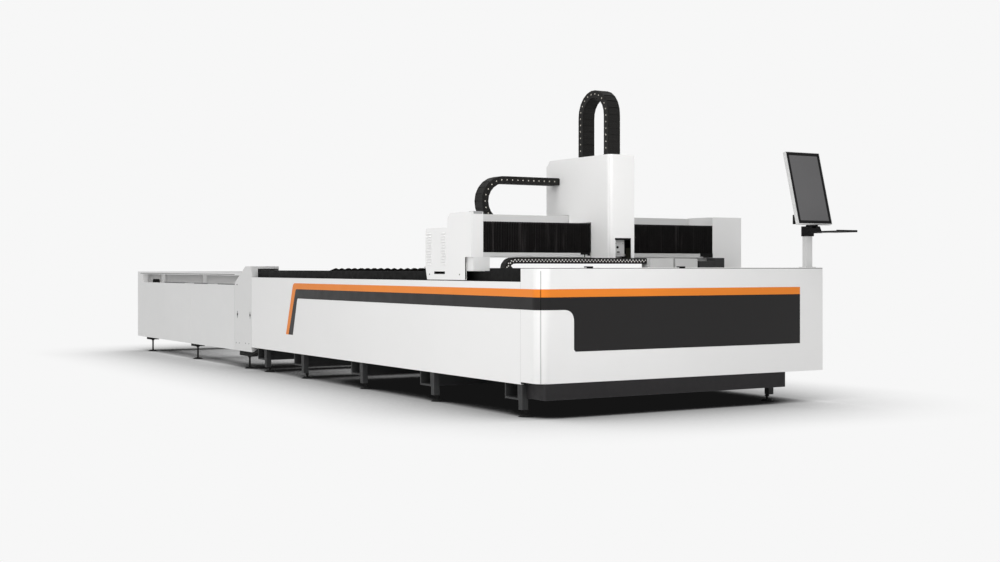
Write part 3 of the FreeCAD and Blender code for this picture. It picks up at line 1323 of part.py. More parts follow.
def main():
    os.makedirs("parts", exist_ok=True)
    girder = bed_girder()
    save("bed_girders", group([girder, across(girder)]))
    save("bed_cross_beams", bed_cross_beams())
    save("leg_channels", group([leg_channel(x) for x in LEG_STARTS]))
    save("levelling_feet", bed_feet())
    save("end_sill", end_sill())
    save("side_panel_left", side_panel(0, 1))
    save("side_panel_right", side_panel(BED_WIDTH, -1))
    save("end_cover", end_cover())
    save("livery_orange", livery_orange())
    save("livery_dark", livery_dark())
    save("rail_covers", rail_covers())
    save("x_guides", x_guides())
    save("pallet_rails", pallet_rails())
    save("front_deck", front_deck())
    save("front_cable_chain", front_cable_chain())
    save("junction_boxes", junction_boxes())
    save("scrap_trays", scrap_trays())
    save("x_cable_chain", x_cable_chain())
    save("x_chain_trough", x_chain_trough())
    save("tower_frame", tower_frame())
    save("tower_hoods", tower_hoods())
    save("tower_locks", tower_locks())
    save("table_frame", table_frame())
    save("table_panel_left", table_panel_left())
    save("table_panel_right", table_panel_right())
    save("table_end_panel", table_end_panel())
    save("exchange_feet", exchange_feet())
    save("drive_motor", drive_motor())
    save("drive_shaft", drive_shaft())
    upper_base = UPPER_RAIL_TOP + 2 * WHEEL_RADIUS
    lower_base = LOWER_RAIL_TOP + 2 * WHEEL_RADIUS
    save("pallet_a_frame", pallet_frame(PALLET_NEAR_X, upper_base))
    save("pallet_a_slats", pallet_slats(PALLET_NEAR_X, upper_base, 12))
    save("pallet_a_wheels", pallet_wheels(PALLET_NEAR_X, UPPER_RAIL_TOP))
    stored = PALLET_NEAR_X - PALLET_TRAVEL
    save("pallet_b_frame", pallet_frame(stored, lower_base))
    save("pallet_b_slats", pallet_slats(stored, lower_base, 6))
    save("pallet_b_wheels", pallet_wheels(stored, LOWER_RAIL_TOP))
    save("gantry_beam", gantry_beam())
    save("gantry_fascia", gantry_fascia())
    save("gantry_saddles", gantry_saddles())
    save("gantry_cover_left", gantry_cover_left())
    save("gantry_cover_right", gantry_cover_right())
    save("x_motors", x_motors())
    save("y_guides", y_guides())
    save("bellows_left", bellows(BELLOWS_START_Y, CARRIAGE_LEFT_Y))
    save("bellows_right", bellows(CARRIAGE_RIGHT_Y, BELLOWS_END_Y))
    pinion = x_pinion()
    save("x_pinion_left", pinion)
    save("x_pinion_right", across(pinion))
    save("carriage_plate", carriage_plate())
    save("carriage_cover", carriage_cover())
    save("carriage_motors", carriage_motors())
    save("y_pinion", y_pinion())
    save("y_cable_chain", y_cable_chain())
    save("z_cable_chain", z_cable_chain())
    save("z_slide", z_slide())
    save("laser_head", laser_head())
    save("nozzle", nozzle())
    save("hmi_post", hmi_post())
    save("hmi_bracket", hmi_bracket())
    save("monitor_case", monitor_case())
    save("monitor_screen", monitor_screen())
    save("keyboard_tray", keyboard_tray())
    print(len(WRITTEN), "nodes")


main()
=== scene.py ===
"""Looks of the sheet metal laser cutting machine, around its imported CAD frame.

Row frame, metres: +X is the operator's end, -Y the side that the camera sees, z = 0 the floor.
"""

import math
import random

import bmesh
import bpy
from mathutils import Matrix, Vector


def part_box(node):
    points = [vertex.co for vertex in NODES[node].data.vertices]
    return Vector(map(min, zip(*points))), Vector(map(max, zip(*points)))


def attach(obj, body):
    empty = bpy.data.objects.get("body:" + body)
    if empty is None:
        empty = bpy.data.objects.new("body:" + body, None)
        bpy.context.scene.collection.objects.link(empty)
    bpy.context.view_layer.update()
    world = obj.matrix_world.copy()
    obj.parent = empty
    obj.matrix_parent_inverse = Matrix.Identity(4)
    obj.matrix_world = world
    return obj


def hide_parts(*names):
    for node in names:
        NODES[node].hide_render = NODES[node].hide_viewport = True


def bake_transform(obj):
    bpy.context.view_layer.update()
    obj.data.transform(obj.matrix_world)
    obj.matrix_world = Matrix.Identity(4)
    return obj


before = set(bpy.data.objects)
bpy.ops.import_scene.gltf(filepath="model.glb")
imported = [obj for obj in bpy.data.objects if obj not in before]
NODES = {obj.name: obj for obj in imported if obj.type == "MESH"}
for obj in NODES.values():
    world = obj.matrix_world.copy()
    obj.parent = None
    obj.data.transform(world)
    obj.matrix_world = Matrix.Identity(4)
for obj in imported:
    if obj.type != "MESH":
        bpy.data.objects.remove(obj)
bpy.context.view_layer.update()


# ------------------------------------------------------------------ materials


class Shader:
    """A node material under construction, with short calls for the nodes used here."""

    def __init__(self, name, **sockets):
        self.material = bpy.data.materials.new(name)
        self.material.use_nodes = True
        self.tree = self.material.node_tree
        self.surface = self.tree.nodes["Principled BSDF"]
        for socket, value in sockets.items():
            self.set(socket.replace("_", " "), value)
        self.where = self.tree.nodes.new("ShaderNodeTexCoord").outputs["Object"]

    def set(self, socket, value):
        """Sets a uniform value on the surface's own socket."""
        if socket == "Base Color":
            value = (*value, 1.0)
        self.surface.inputs[socket].default_value = value

    def node(self, kind, links=None, **values):
        """A node with its input values and its links, both by socket name or number."""
        made = self.tree.nodes.new("ShaderNode" + kind)
        for key, value in values.items():
            if hasattr(made, key):
                setattr(made, key, value)
            else:
                made.inputs[key.replace("_", " ")].default_value = value
        for key, source in (links or {}).items():
            self.tree.links.new(source, made.inputs[key])
        return made

    def stretched(self, x, y, z):
        """The place on the object, scaled along each axis."""
        return self.node("Mapping", {"Vector": self.where}, Scale=(x, y, z)).outputs[0]

    def noise(self, scale, detail=2.0, rough=0.5, place=None):
        """A noise from 0 to 1."""
        made = self.node(
            "TexNoise",
            {"Vector": place or self.where},
            Scale=scale,
            Detail=detail,
            Roughness=rough,
        )
        return made.outputs["Fac"]

    def remap(self, value, low, high, from_low=0.3, from_high=0.7):
        """The value stretched from one range to another, clamped."""
        made = self.node("MapRange", {"Value": value})
        for socket, number in zip(
            ("From Min", "From Max", "To Min", "To Max"), (from_low, from_high, low, high)
        ):
            made.inputs[socket].default_value = number
        return made.outputs[0]

    def mix(self, factor, first, second):
        """Two colours, or colour outputs, mixed by a factor output."""
        made = self.node("Mix", data_type="RGBA")
        self.tree.links.new(factor, made.inputs["Factor"])
        for number, colour in ((6, first), (7, second)):
            if isinstance(colour, tuple):
                made.inputs[number].default_value = (*colour, 1.0)
            else:
                self.tree.links.new(colour, made.inputs[number])
        return made.outputs[2]

    def colour(self, source):
        self.tree.links.new(source, self.surface.inputs["Base Color"])

    def roughness(self, source):
        self.tree.links.new(source, self.surface.inputs["Roughness"])

    def bump(self, height, depth, strength=1.0):
        """Relief of that depth in metres, on top of relief that is there already."""
        made = self.node("Bump", {"Height": height}, Strength=strength, Distance=depth)
        normal = self.surface.inputs["Normal"]
        if normal.is_linked:
            self.tree.links.new(normal.links[0].from_socket, made.inputs["Normal"])
        self.tree.links.new(made.outputs[0], normal)


def shade(colour, by):
    return tuple(channel * by for channel in colour)


def painted(name, colour, rough=0.42, peel=0.00006, soil=0.05, shine=0.5):
    """Powder coat: orange peel, a trace of handling marks, gloss that varies a little."""
    made = Shader(name, Roughness=rough)
    made.set("Base Color", colour)
    made.set("Specular IOR Level", shine)
    clouds = made.noise(1.1, 4.0)
    made.colour(made.mix(made.remap(clouds, 0.0, 1.0), colour, shade(colour, 1 - soil)))
    made.roughness(made.remap(made.noise(9.0, 3.0), rough - 0.05, rough + 0.06))
    made.bump(made.noise(620.0, 1.0), peel)
    return made.material


def worn_paint(name, colour, bare, rough=0.5, shine=0.3):
    """Frame paint that is rubbed at its edges and dusty in places."""
    made = Shader(name, Roughness=rough)
    made.set("Specular IOR Level", shine)
    bevel = made.node("Bevel", Radius=0.006, samples=4).outputs[0]
    facing = made.node("NewGeometry").outputs["Normal"]
    turned = made.node("VectorMath", {0: bevel, 1: facing}, operation="DOT_PRODUCT")
    edge = made.remap(turned.outputs["Value"], 1.0, 0.0, 0.86, 0.99)
    broken = made.node(
        "Math", {0: edge, 1: made.noise(70.0, 4.0)}, operation="MULTIPLY"
    ).outputs[0]
    rubbed = made.remap(broken, 0.0, 0.65, 0.30, 0.62)
    dust = made.remap(made.noise(3.0, 5.0), 0.0, 0.35)
    base = made.mix(dust, colour, shade(colour, 1.35))
    made.colour(made.mix(rubbed, base, bare))
    made.roughness(made.remap(made.noise(25.0, 3.0), rough - 0.08, rough + 0.1))
    made.bump(made.noise(420.0, 2.0), 0.00008)
    return made.material


def brushed(name, colour, rough=0.3, along=(1, 40, 40)):
    """Ground metal: fine scratches along one axis."""
    made = Shader(name, Metallic=1.0, Roughness=rough)
    lines = made.noise(60.0, 3.0, 0.6, made.stretched(*along))
    made.colour(made.mix(made.remap(lines, 0, 1), shade(colour, 0.82), colour))
    made.roughness(made.remap(lines, rough - 0.08, rough + 0.14))
    made.bump(lines, 0.00003)
    return made.material


def rolled_steel(name, colour):
    """Hot rolled strip as a cutting table has it: scale and heat tint in patches, rough relief."""
    made = Shader(name, Metallic=0.3, Roughness=0.6)
    made.set("Specular IOR Level", 0.06)
    patches = made.remap(made.noise(16.0, 5.0), 0, 1)
    rust = made.remap(made.noise(5.0, 6.0, 0.65), 0, 0.45, 0.5, 0.75)
    scale = made.mix(patches, shade(colour, 0.6), colour)
    made.colour(made.mix(rust, scale, shade((3.2, 1.7, 1.0), colour[0])))
    made.roughness(made.remap(made.noise(120.0, 3.0), 0.38, 0.75))
    made.bump(made.noise(240.0, 4.0), 0.0003)
    return made.material


def moulded(name, colour, rough=0.5, grain=0.00006, scale=1500.0, shine=0.3):
    """Moulded plastic with a fine spark-eroded texture."""
    made = Shader(name, Roughness=rough)
    made.set("Specular IOR Level", shine)
    made.set("Base Color", colour)
    clouds = made.remap(made.noise(7.0, 3.0), 0.0, 1.0)
    made.colour(made.mix(clouds, colour, shade(colour, 0.85)))
    made.roughness(made.remap(made.noise(40.0, 2.0), rough - 0.06, rough + 0.08))
    made.bump(made.noise(scale, 2.0), grain)
    return made.material


def coated_cloth(name, colour):
    """Bellows cloth: plain weave, dull coating, painted highlight streaks on the pleat crests."""
    made = Shader(name, Roughness=0.62)
    made.set("Specular IOR Level", 0.12)
    made.set("Sheen Weight", 0.02)
    made.set("Sheen Roughness", 0.5)
    threads = []
    for axis in ("Y", "Z"):
        wave = made.node("TexWave", {"Vector": made.where}, Scale=240.0, Distortion=0.6)
        wave.bands_direction = axis
        threads.append(wave.outputs["Fac"])
    weave = made.node("Math", {0: threads[0], 1: threads[1]}, operation="MAXIMUM")
    made.bump(weave.outputs[0], 0.00015)
    dust = made.remap(made.noise(14.0, 5.0), 0.0, 0.5)
    dusty = made.mix(dust, colour, shade(colour, 1.9))
    # Lighter vertical streaks: painted highlights on the pleat crests.
    painted_crest_highlights = made.noise(34.0, 2.0, 0.7, made.stretched(0.02, 1.0, 0.03))
    made.colour(made.mix(made.remap(painted_crest_highlights, 0.0, 1.0, 0.60, 0.68), dusty, shade(colour, 4.5)))
    made.roughness(made.remap(made.noise(60.0, 3.0), 0.55, 0.72))
    return made.material


def zinc_plate(name, colour):
    """Zinc plating with its faint cells."""
    made = Shader(name, Metallic=1.0, Roughness=0.38)
    cells = made.node("TexVoronoi", {"Vector": made.where}, Scale=160.0)
    tint = made.remap(cells.outputs["Distance"], 0, 1, 0.0, 0.8)
    made.colour(made.mix(tint, colour, shade(colour, 0.75)))
    made.roughness(made.remap(made.noise(90.0, 3.0), 0.3, 0.5))
    return made.material


def display(name, colour):
    """A switched-off screen: dark glass with an even haze of light on it."""
    made = Shader(name, Roughness=0.2)
    made.set("Base Color", colour)
    made.set("Coat Weight", 0.4)
    made.set("Coat Roughness", 0.06)
    smear = made.remap(made.noise(6.0, 4.0), 0.16, 0.26)
    made.roughness(smear)
    made.colour(made.mix(made.remap(made.noise(2.0), 0, 1), colour, shade(colour, 0.9)))
    return made.material


WHITE = painted("white_powder_coat", (0.797, 0.795, 0.790), soil=0.02)
# A brighter copy of the white coat for the carriage cover and the exchange table: painted light.
LIT_WHITE = painted("white_coat_painted_light", (0.86, 0.857, 0.850), soil=0.02)
PALE = painted("pale_powder_coat", (0.74, 0.74, 0.735), soil=0.03)
GREY = painted("light_grey_coat", (0.56, 0.56, 0.555), soil=0.03)
HOOD = painted("hood_powder_coat", (0.70, 0.70, 0.695), soil=0.03)
# The white cover paint made darker for the fascia and its channel: painted shade of the set-back
# wall.
FASCIA_SHADED = painted("fascia_coat_painted_shade", (0.61, 0.61, 0.605), soil=0.03)
PALE_FRAME = painted("pale_frame_paint", (0.55, 0.55, 0.545), 0.5)
ORANGE = painted("orange_paint", (0.80, 0.225, 0.018), 0.34, shine=0.3)
BAND = painted("graphite_paint", (0.008, 0.0072, 0.0075), 0.36, soil=0.1, shine=0.32)
DARK = worn_paint("dark_frame_paint", (0.032, 0.0325, 0.033), (0.12, 0.12, 0.12), shine=0.2)
BLACK = worn_paint("black_frame_paint", (0.0055, 0.0055, 0.0055), (0.04, 0.04, 0.04), shine=0.08)
SILL = worn_paint("sill_paint", (0.021, 0.020, 0.021), (0.08, 0.08, 0.08), shine=0.15)
GIRDER = worn_paint("grey_frame_paint", (0.16, 0.165, 0.17), (0.40, 0.40, 0.40))
FOOT_RUBBER = moulded("foot_rubber", (0.014, 0.014, 0.014), 0.75, 0.0002, 500.0, 0.15)
PLASTIC = moulded("black_plastic", (0.011, 0.011, 0.0115), 0.42, shine=0.15)
LINK = moulded("chain_link_plastic", (0.013, 0.0125, 0.0115), 0.45, shine=0.2)
# Pale pins on the chains' side plates: their colour is a painted glint on the pin heads.
PIN_GLINT = moulded("chain_pin_glint", (0.55, 0.52, 0.46), 0.4)
RIVET_GLINT = moulded("chain_rivet_glint", (0.86, 0.85, 0.82), 0.4)
CASE = moulded("case_plastic", (0.78, 0.78, 0.775), 0.4)
CLOTH = coated_cloth("bellows_cloth", (0.006, 0.0055, 0.0055))
STEEL = brushed("ground_steel", (0.58, 0.58, 0.59))
ROLLED = rolled_steel("slat_steel", (0.006, 0.0058, 0.0056))
ALUMINIUM = brushed("anodised_aluminium", (0.62, 0.62, 0.63), 0.42, (1, 1, 30))
COPPER = brushed("turned_copper", (0.72, 0.42, 0.24), 0.25, (40, 40, 1))
ZINC = zinc_plate("zinc_plate", (0.55, 0.55, 0.53))
SCREEN = display("display", (0.105, 0.103, 0.106))
BEZEL = moulded("bezel_plastic", (0.008, 0.008, 0.0085), 0.35, shine=0.15)
RUBBER = moulded("black_rubber", (0.009, 0.009, 0.009), 0.7, 0.0002, 600.0, 0.1)
GAP = painted("seam_shadow", (0.13, 0.13, 0.13), 0.6, shine=0.1)
# Grey for seams and joints; in the end cover's corner groove it is painted shade.
SEAM_GREY_AND_GROOVE_SHADE = painted("seam_grey_and_groove_shade", (0.50, 0.50, 0.50), 0.5, shine=0.2)
ORANGE_LINE = painted("orange_shadow", (0.33, 0.085, 0.008), 0.5, shine=0.1)
OLIVE = painted("liner_olive", (0.050, 0.052, 0.036), 0.5, shine=0.15)
# Grey for the painted shade on the gantry's left end cover.
SHADE_GREY = painted("cover_edge_shade_grey", (0.33, 0.33, 0.335), 0.45)

LOOK_OF = {
    "bed_girders": GIRDER,
    "bed_cross_beams": GIRDER,
    "leg_channels": DARK,
    "levelling_feet": FOOT_RUBBER,
    "end_sill": SILL,
    "side_panel_left": WHITE,
    "side_panel_right": WHITE,
    "end_cover": WHITE,
    "livery_orange": ORANGE,
    "livery_dark": BAND,
    "rail_covers": BLACK,
    "x_guides": STEEL,
    "pallet_rails": GIRDER,
    "front_deck": WHITE,
    "front_cable_chain": LINK,
    "junction_boxes": GREY,
    "scrap_trays": ROLLED,
    "x_cable_chain": LINK,
    "x_chain_trough": GIRDER,
    "tower_frame": DARK,
    "tower_hoods": HOOD,
    "tower_locks": PLASTIC,
    "table_frame": LIT_WHITE,
    "table_panel_left": PALE,
    "table_panel_right": LIT_WHITE,
    "table_end_panel": LIT_WHITE,
    "exchange_feet": FOOT_RUBBER,
    "drive_motor": PLASTIC,
    "drive_shaft": STEEL,
    "pallet_a_frame": GIRDER,
    "pallet_a_slats": ROLLED,
    "pallet_a_wheels": STEEL,
    "pallet_b_frame": GIRDER,
    "pallet_b_slats": ROLLED,
    "pallet_b_wheels": STEEL,
    "gantry_beam": PALE_FRAME,
    "gantry_fascia": FASCIA_SHADED,
    "gantry_saddles": PALE,
    "gantry_cover_left": WHITE,
    "gantry_cover_right": WHITE,
    "x_motors": PLASTIC,
    "x_pinion_left": STEEL,
    "x_pinion_right": STEEL,
    "y_guides": STEEL,
    "bellows_left": CLOTH,
    "bellows_right": CLOTH,
    "y_cable_chain": LINK,
    "y_pinion": STEEL,
    "z_cable_chain": LINK,
    "carriage_plate": ALUMINIUM,
    "carriage_cover": LIT_WHITE,
    "carriage_motors": PLASTIC,
    "z_slide": ALUMINIUM,
    "laser_head": PALE_FRAME,
    "nozzle": COPPER,
    "hmi_post": HOOD,
    "hmi_bracket": PLASTIC,
    "keyboard_tray": PLASTIC,
    "monitor_case": CASE,
    "monitor_screen": SCREEN,
}
FOLD_RADIUS = 0.002            # metres, of a folded or moulded edge
FOLD_ANGLE = 30.0              # degrees between two faces from which an edge is rounded
SHEET_METAL = (
    "side_panel_left side_panel_right end_cover gantry_cover_left gantry_cover_right "
    "carriage_cover gantry_fascia tower_hoods table_panel_left table_panel_right "
    "table_end_panel junction_boxes monitor_case rail_covers leg_channels end_sill "
    "keyboard_tray"
).split()


def soft_edges(obj, radius):
    """Rounds a CAD node's folded edges with modifiers, and leaves its vertices alone."""
    weld = obj.modifiers.new("weld", "WELD")
    weld.merge_threshold = 0.00001
    planar = obj.modifiers.new("planar", "DECIMATE")
    planar.decimate_type = "DISSOLVE"
    planar.angle_limit = math.radians(0.5)
    bevel = obj.modifiers.new("fold", "BEVEL")
    bevel.width = radius
    bevel.segments = 2
    bevel.limit_method = "ANGLE"
    bevel.angle_limit = math.radians(FOLD_ANGLE)
    bevel.harden_normals = True
    bevel.miter_outer = "MITER_ARC"


for name, look in LOOK_OF.items():
    NODES[name].data.materials.clear()
    NODES[name].data.materials.append(look)
for name in SHEET_METAL:
    soft_edges(NODES[name], FOLD_RADIUS)


# ------------------------------------------------------------------ pieces


def row(x, y, z=0.0):
    """A place in the machine's own millimetres, from the end cover, left side and floor."""
    return Vector((x / 1000 + 4.125, y / 1000 - 1.227, z / 1000))


def as_given(x, y, z):
    """A place that is in the row frame already."""
    return Vector((x, y, z))


class Build:
    """Points and faces of one piece, gathered shape by shape; each face keeps its look."""

    def __init__(self):
        self.points = []
        self.faces = []
        self.looks = []

    def add(self, points, faces, look=0):
        first = len(self.points)
        self.points += points
        self.faces += [tuple(first + corner for corner in face) for face in faces]
        self.looks += [look] * len(faces)

    def prism(self, outline, place, low, high, look=0):
        """A closed outline drawn out; place(a, b, height) says where a point of it lies."""
        count = len(outline)
        points = [place(a, b, height) for height in (low, high) for a, b in outline]
        faces = [tuple(range(count)), tuple(range(count, 2 * count))]
        for here in range(count):
            after = (here + 1) % count
            faces.append((here, after, after + count, here + count))
        self.add(points, faces, look)

    def block(self, low, high, look=0):
        """A box between two corners in the row frame."""
        outline = [(low.x, low.y), (high.x, low.y), (high.x, high.y), (low.x, high.y)]
        self.prism(outline, as_given, low.z, high.z, look)

    def disc(self, centre, axis, radius, height, look=0, sides=12):
        """A round stud that stands on a surface, its edge broken towards the top."""
        axis = Vector(axis).normalized()
        over = axis.orthogonal().normalized()
        up = axis.cross(over)
        rings = []
        for reach, lift in ((radius, 0.0), (radius, height * 0.6), (radius * 0.8, height)):
            for number in range(sides):
                angle = 2 * math.pi * number / sides
                away = over * math.cos(angle) + up * math.sin(angle)
                rings.append(centre + away * reach + axis * lift)
        faces = [tuple(range(sides)), tuple(range(2 * sides, 3 * sides))]
        for start in (0, sides):
            for here in range(sides):
                after = (here + 1) % sides
                faces.append((start + here, start + after, start + sides + after,
                              start + sides + here))
        self.add(rings, faces, look)

    def piece(self, name, looks, body=None, fold=0.0):
        """The object, with its looks; it rides on the body and has rounded folds if asked."""
        mesh = bpy.data.meshes.new(name)
        mesh.from_pydata(self.points, [], self.faces)
        mesh.polygons.foreach_set("material_index", self.looks)
        for look in looks:
            mesh.materials.append(look)
        cleaned = bmesh.new()
        cleaned.from_mesh(mesh)
        bmesh.ops.recalc_face_normals(cleaned, faces=cleaned.faces)
        cleaned.to_mesh(mesh)
        cleaned.free()
        made = bpy.data.objects.new(name, mesh)
        bpy.context.scene.collection.objects.link(made)
        if fold:
            rounded = made.modifiers.new("fold", "BEVEL")
            rounded.width = fold
            rounded.segments = 2
            rounded.limit_method = "ANGLE"
            rounded.harden_normals = True
        if body:
            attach(made, body)
        return made


# ---- cable chains

TALL_PITCH = 0.045             # metres from pin to pin on the gantry's and the head's chain
TALL_HEIGHT = 0.052            # metres across a link's side plate
TALL_LIFT = 0.310              # metres between the two runs, middle to middle
STUD = 0.0012                  # metres that a pin stands out of its plate


class Loop:
    """A cable chain's path: out along u, a half turn, and back beside it, a radius to v."""

    def __init__(self, start, u, v, out, back, radius):
        self.start = start
        self.u = Vector(u)
        self.v = Vector(v)
        self.across = self.u.cross(self.v)
        self.out = out
        self.radius = radius
        self.length = out + math.pi * radius + back

    def point(self, distance):
        turn = math.pi * self.radius
        if distance < self.out:
            return self.start + self.u * distance
        if distance < self.out + turn:
            angle = (distance - self.out) / self.radius
            u = self.out + self.radius * math.sin(angle)
            return self.start + self.u * u + self.v * (self.radius * (1 - math.cos(angle)))
        return (self.start + self.u * (2 * self.out + turn - distance)
                + self.v * (2 * self.radius))


class Straight:
    """A straight run of links."""

    def __init__(self, start, u, v, length):
        self.start = start
        self.u = Vector(u)
        self.across = self.u.cross(Vector(v))
        self.radius = math.inf
        self.length = length

    def point(self, distance):
        return self.start + self.u * distance


def arc(centre, radius, start, end, steps):
    """Points of an arc between two angles in degrees, in a link's own plane."""
    points = []
    for step in range(steps + 1):
        angle = math.radians(start + (end - start) * step / steps)
        points.append((centre + radius * math.cos(angle), radius * math.sin(angle)))
    return points


def lid_outline(middle, length, side, radius, deep):
    """A link's lid seen from its side: a plate with shallow grooves between its panels."""
    panels = 3
    groove = length * 0.02
    start = middle - length / 2
    outline = [(start, radius - deep), (start, radius)]
    for number in range(1, panels):
        line = start + length * number / panels
        outline += [(line - groove, radius), (line - groove, radius - deep * 0.4),
                    (line + groove, radius - deep * 0.4), (line + groove, radius)]
    outline += [(start + length, radius), (start + length, radius - deep)]
    return [(along, side * out) for along, out in outline]


def cable_chain(name, loop, pitch, height, width, plate=0.003, pin=0.005, zigzag=0.0,
                glint_look=PIN_GLINT):
    """A closed cable chain: scaled side plates, sliding lids, pins pale as painted glints.

    plate is a side plate's thickness and pin a pin's radius. With a zigzag, pins stand that
    far above and below the middle, and there are twice as many."""
    lid = 0.004
    outer_gap = 0.003
    inner_gap = 0.002
    shell_angle = 26
    shell_out = 0.0045
    shell_in = 0.0065
    build = Build()
    count = round(loop.length / pitch)
    pitch = loop.length / count
    radius = height / 2
    gap = 0.001
    reach = width / 2
    bend = radius / loop.radius * pitch
    for number in range(count):
        near = loop.point(number * pitch)
        along = (loop.point((number + 1) * pitch) - near).normalized()
        out = along.cross(loop.across)

        def place(s, n, w, near=near, along=along, out=out):
            return near + along * s + out * n + loop.across * w

        notch = math.degrees(math.asin(radius / (radius + gap)))
        first = number == 0
        last = number == count - 1
        head = [(0.0, radius), (0.0, -radius)] if first else arc(0.0, radius, 90, 270, 8)
        if last:
            round_end = radius * 0.45
            tail = arc(pitch - round_end, round_end, -90, 90, 6)
            tail = [(a, b + math.copysign(radius - round_end, b)) for a, b in tail]
        else:
            tail = arc(pitch, radius + gap, 180 + notch, 180 - notch, 8)
        below = head + (tail if last else arc(pitch, radius - plate, -90, 90, 6))
        for side in (-1, 1):
            build.prism(head + tail, place, side * reach, side * (reach - plate))
            build.prism(below, place, side * (reach - plate), side * (reach - 2 * plate))
            if not first:
                build.disc(place(0, -zigzag, side * reach), loop.across * side, pin, STUD, 1)
            if zigzag:
                build.disc(place(pitch / 2, zigzag, side * reach), loop.across * side, pin,
                           STUD, 1)
        inside = reach - 2 * plate
        for side, length in ((1, pitch - outer_gap), (-1, pitch - inner_gap - bend)):
            build.prism(lid_outline(pitch / 2, length, side, radius, lid), place, -inside, inside)
            if not first:
                from_angle, to_angle = 90 - shell_angle, 90 + shell_angle
                shell = arc(0.0, radius - shell_out, from_angle, to_angle, 4)
                shell += arc(0.0, radius - shell_in, to_angle, from_angle, 4)
                shell = [(a, side * b) for a, b in shell]
                build.prism(shell, place, -inside, inside)
    made = build.piece(name, [LINK, glint_look])
    return made


def head_leg(end, height, width):
    """The head's leg of the upper chain goes on inside the cover, through a rubber bush.

    It rises with the head, so that the leg still reaches into the cover at the top."""
    hidden = 0.125
    lap = 0.012
    narrower = 0.002
    run = Straight(end + Vector((0, 0, lap)), (0, 0, -1), (1, 0, 0), hidden + lap)
    tail = cable_chain("z_cable_chain_inner_links", run, TALL_PITCH, height - narrower,
                       width - narrower)
    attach(tail, "head")
    bush = Build()
    rim = 0.004
    play = 0.0005
    tall = 0.003
    inner = (height / 2 + play, width / 2 + play)
    outer = (height / 2 + rim, width / 2 + rim)
    corners = ((-1, -1), (1, -1), (1, 1), (-1, 1))
    for here in range(4):
        after = (here + 1) % 4
        loop = []
        for size, corner in ((outer, here), (outer, after), (inner, after), (inner, here)):
            sign = corners[corner]
            loop.append((end.x + sign[0] * size[0], end.y + sign[1] * size[1]))
        bush.prism(loop, as_given, end.z, end.z + tall)
    made = bush.piece("head_chain_bush", [RUBBER], "carriage")


def cable_chains():
    """The four cable chains, each on the path that its solid has."""
    lift = TALL_LIFT
    height = TALL_HEIGHT
    y_low, y_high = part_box("y_cable_chain")
    middle_x = (y_low[0] + y_high[0]) / 2
    start = Vector((middle_x, y_high[1], y_low[2] + height / 2))
    legs = y_high[1] - y_low[1] - lift / 2 - height / 2
    loop = Loop(start, (0, -1, 0), (0, 0, 1), legs, legs, lift / 2)
    chain = cable_chain("y_cable_chain_links", loop, TALL_PITCH, height, y_high[0] - y_low[0])
    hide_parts("y_cable_chain")
    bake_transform(chain)
    z_low, z_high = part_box("z_cable_chain")
    middle_y = (z_low[1] + z_high[1]) / 2
    carriage_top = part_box("carriage_cover")[1][2]
    start = Vector((z_low[0] + height / 2, middle_y, carriage_top))
    legs = z_high[2] - carriage_top - lift / 2 - height / 2
    loop = Loop(start, (0, 0, 1), (1, 0, 0), legs, legs, lift / 2)
    chain = cable_chain("z_cable_chain_links", loop, TALL_PITCH, height, z_high[1] - z_low[1])
    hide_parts("z_cable_chain")
    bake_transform(chain)
    head_leg(Vector((start.x + lift, middle_y, carriage_top)), height, z_high[1] - z_low[1])
    low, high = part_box("front_cable_chain")
    pitch = 0.0265
    height = 0.040
    lift = 0.116
    start = Vector(((low[0] + high[0]) / 2, high[1], low[2] + height / 2))
    legs = high[1] - low[1] - lift / 2 - height / 2
    loop = Loop(start, (0, -1, 0), (0, 0, 1), legs, legs, lift / 2)
    chain = cable_chain("front_cable_chain_links", loop, pitch, height, high[0] - low[0],
                        plate=0.0025, pin=0.0042, zigzag=0.0052, glint_look=RIVET_GLINT)
    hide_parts("front_cable_chain")
    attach(chain, "bed")
    low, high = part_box("x_cable_chain")
    pitch = 0.056
    height = 0.050
    lift = 0.140
    start = Vector((low[0], (low[1] + high[1]) / 2, low[2] + height / 2))
    out = 1.500
    back = 0.090
    loop = Loop(start, (1, 0, 0), (0, 0, 1), out, back, lift / 2)
    chain = cable_chain("x_cable_chain_links", loop, pitch, height, high[1] - low[1])
    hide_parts("x_cable_chain")
    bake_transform(chain)


# ---- bellows

PLEAT = 0.0199                 # metres from crest to crest, rounded to a whole number of pleats


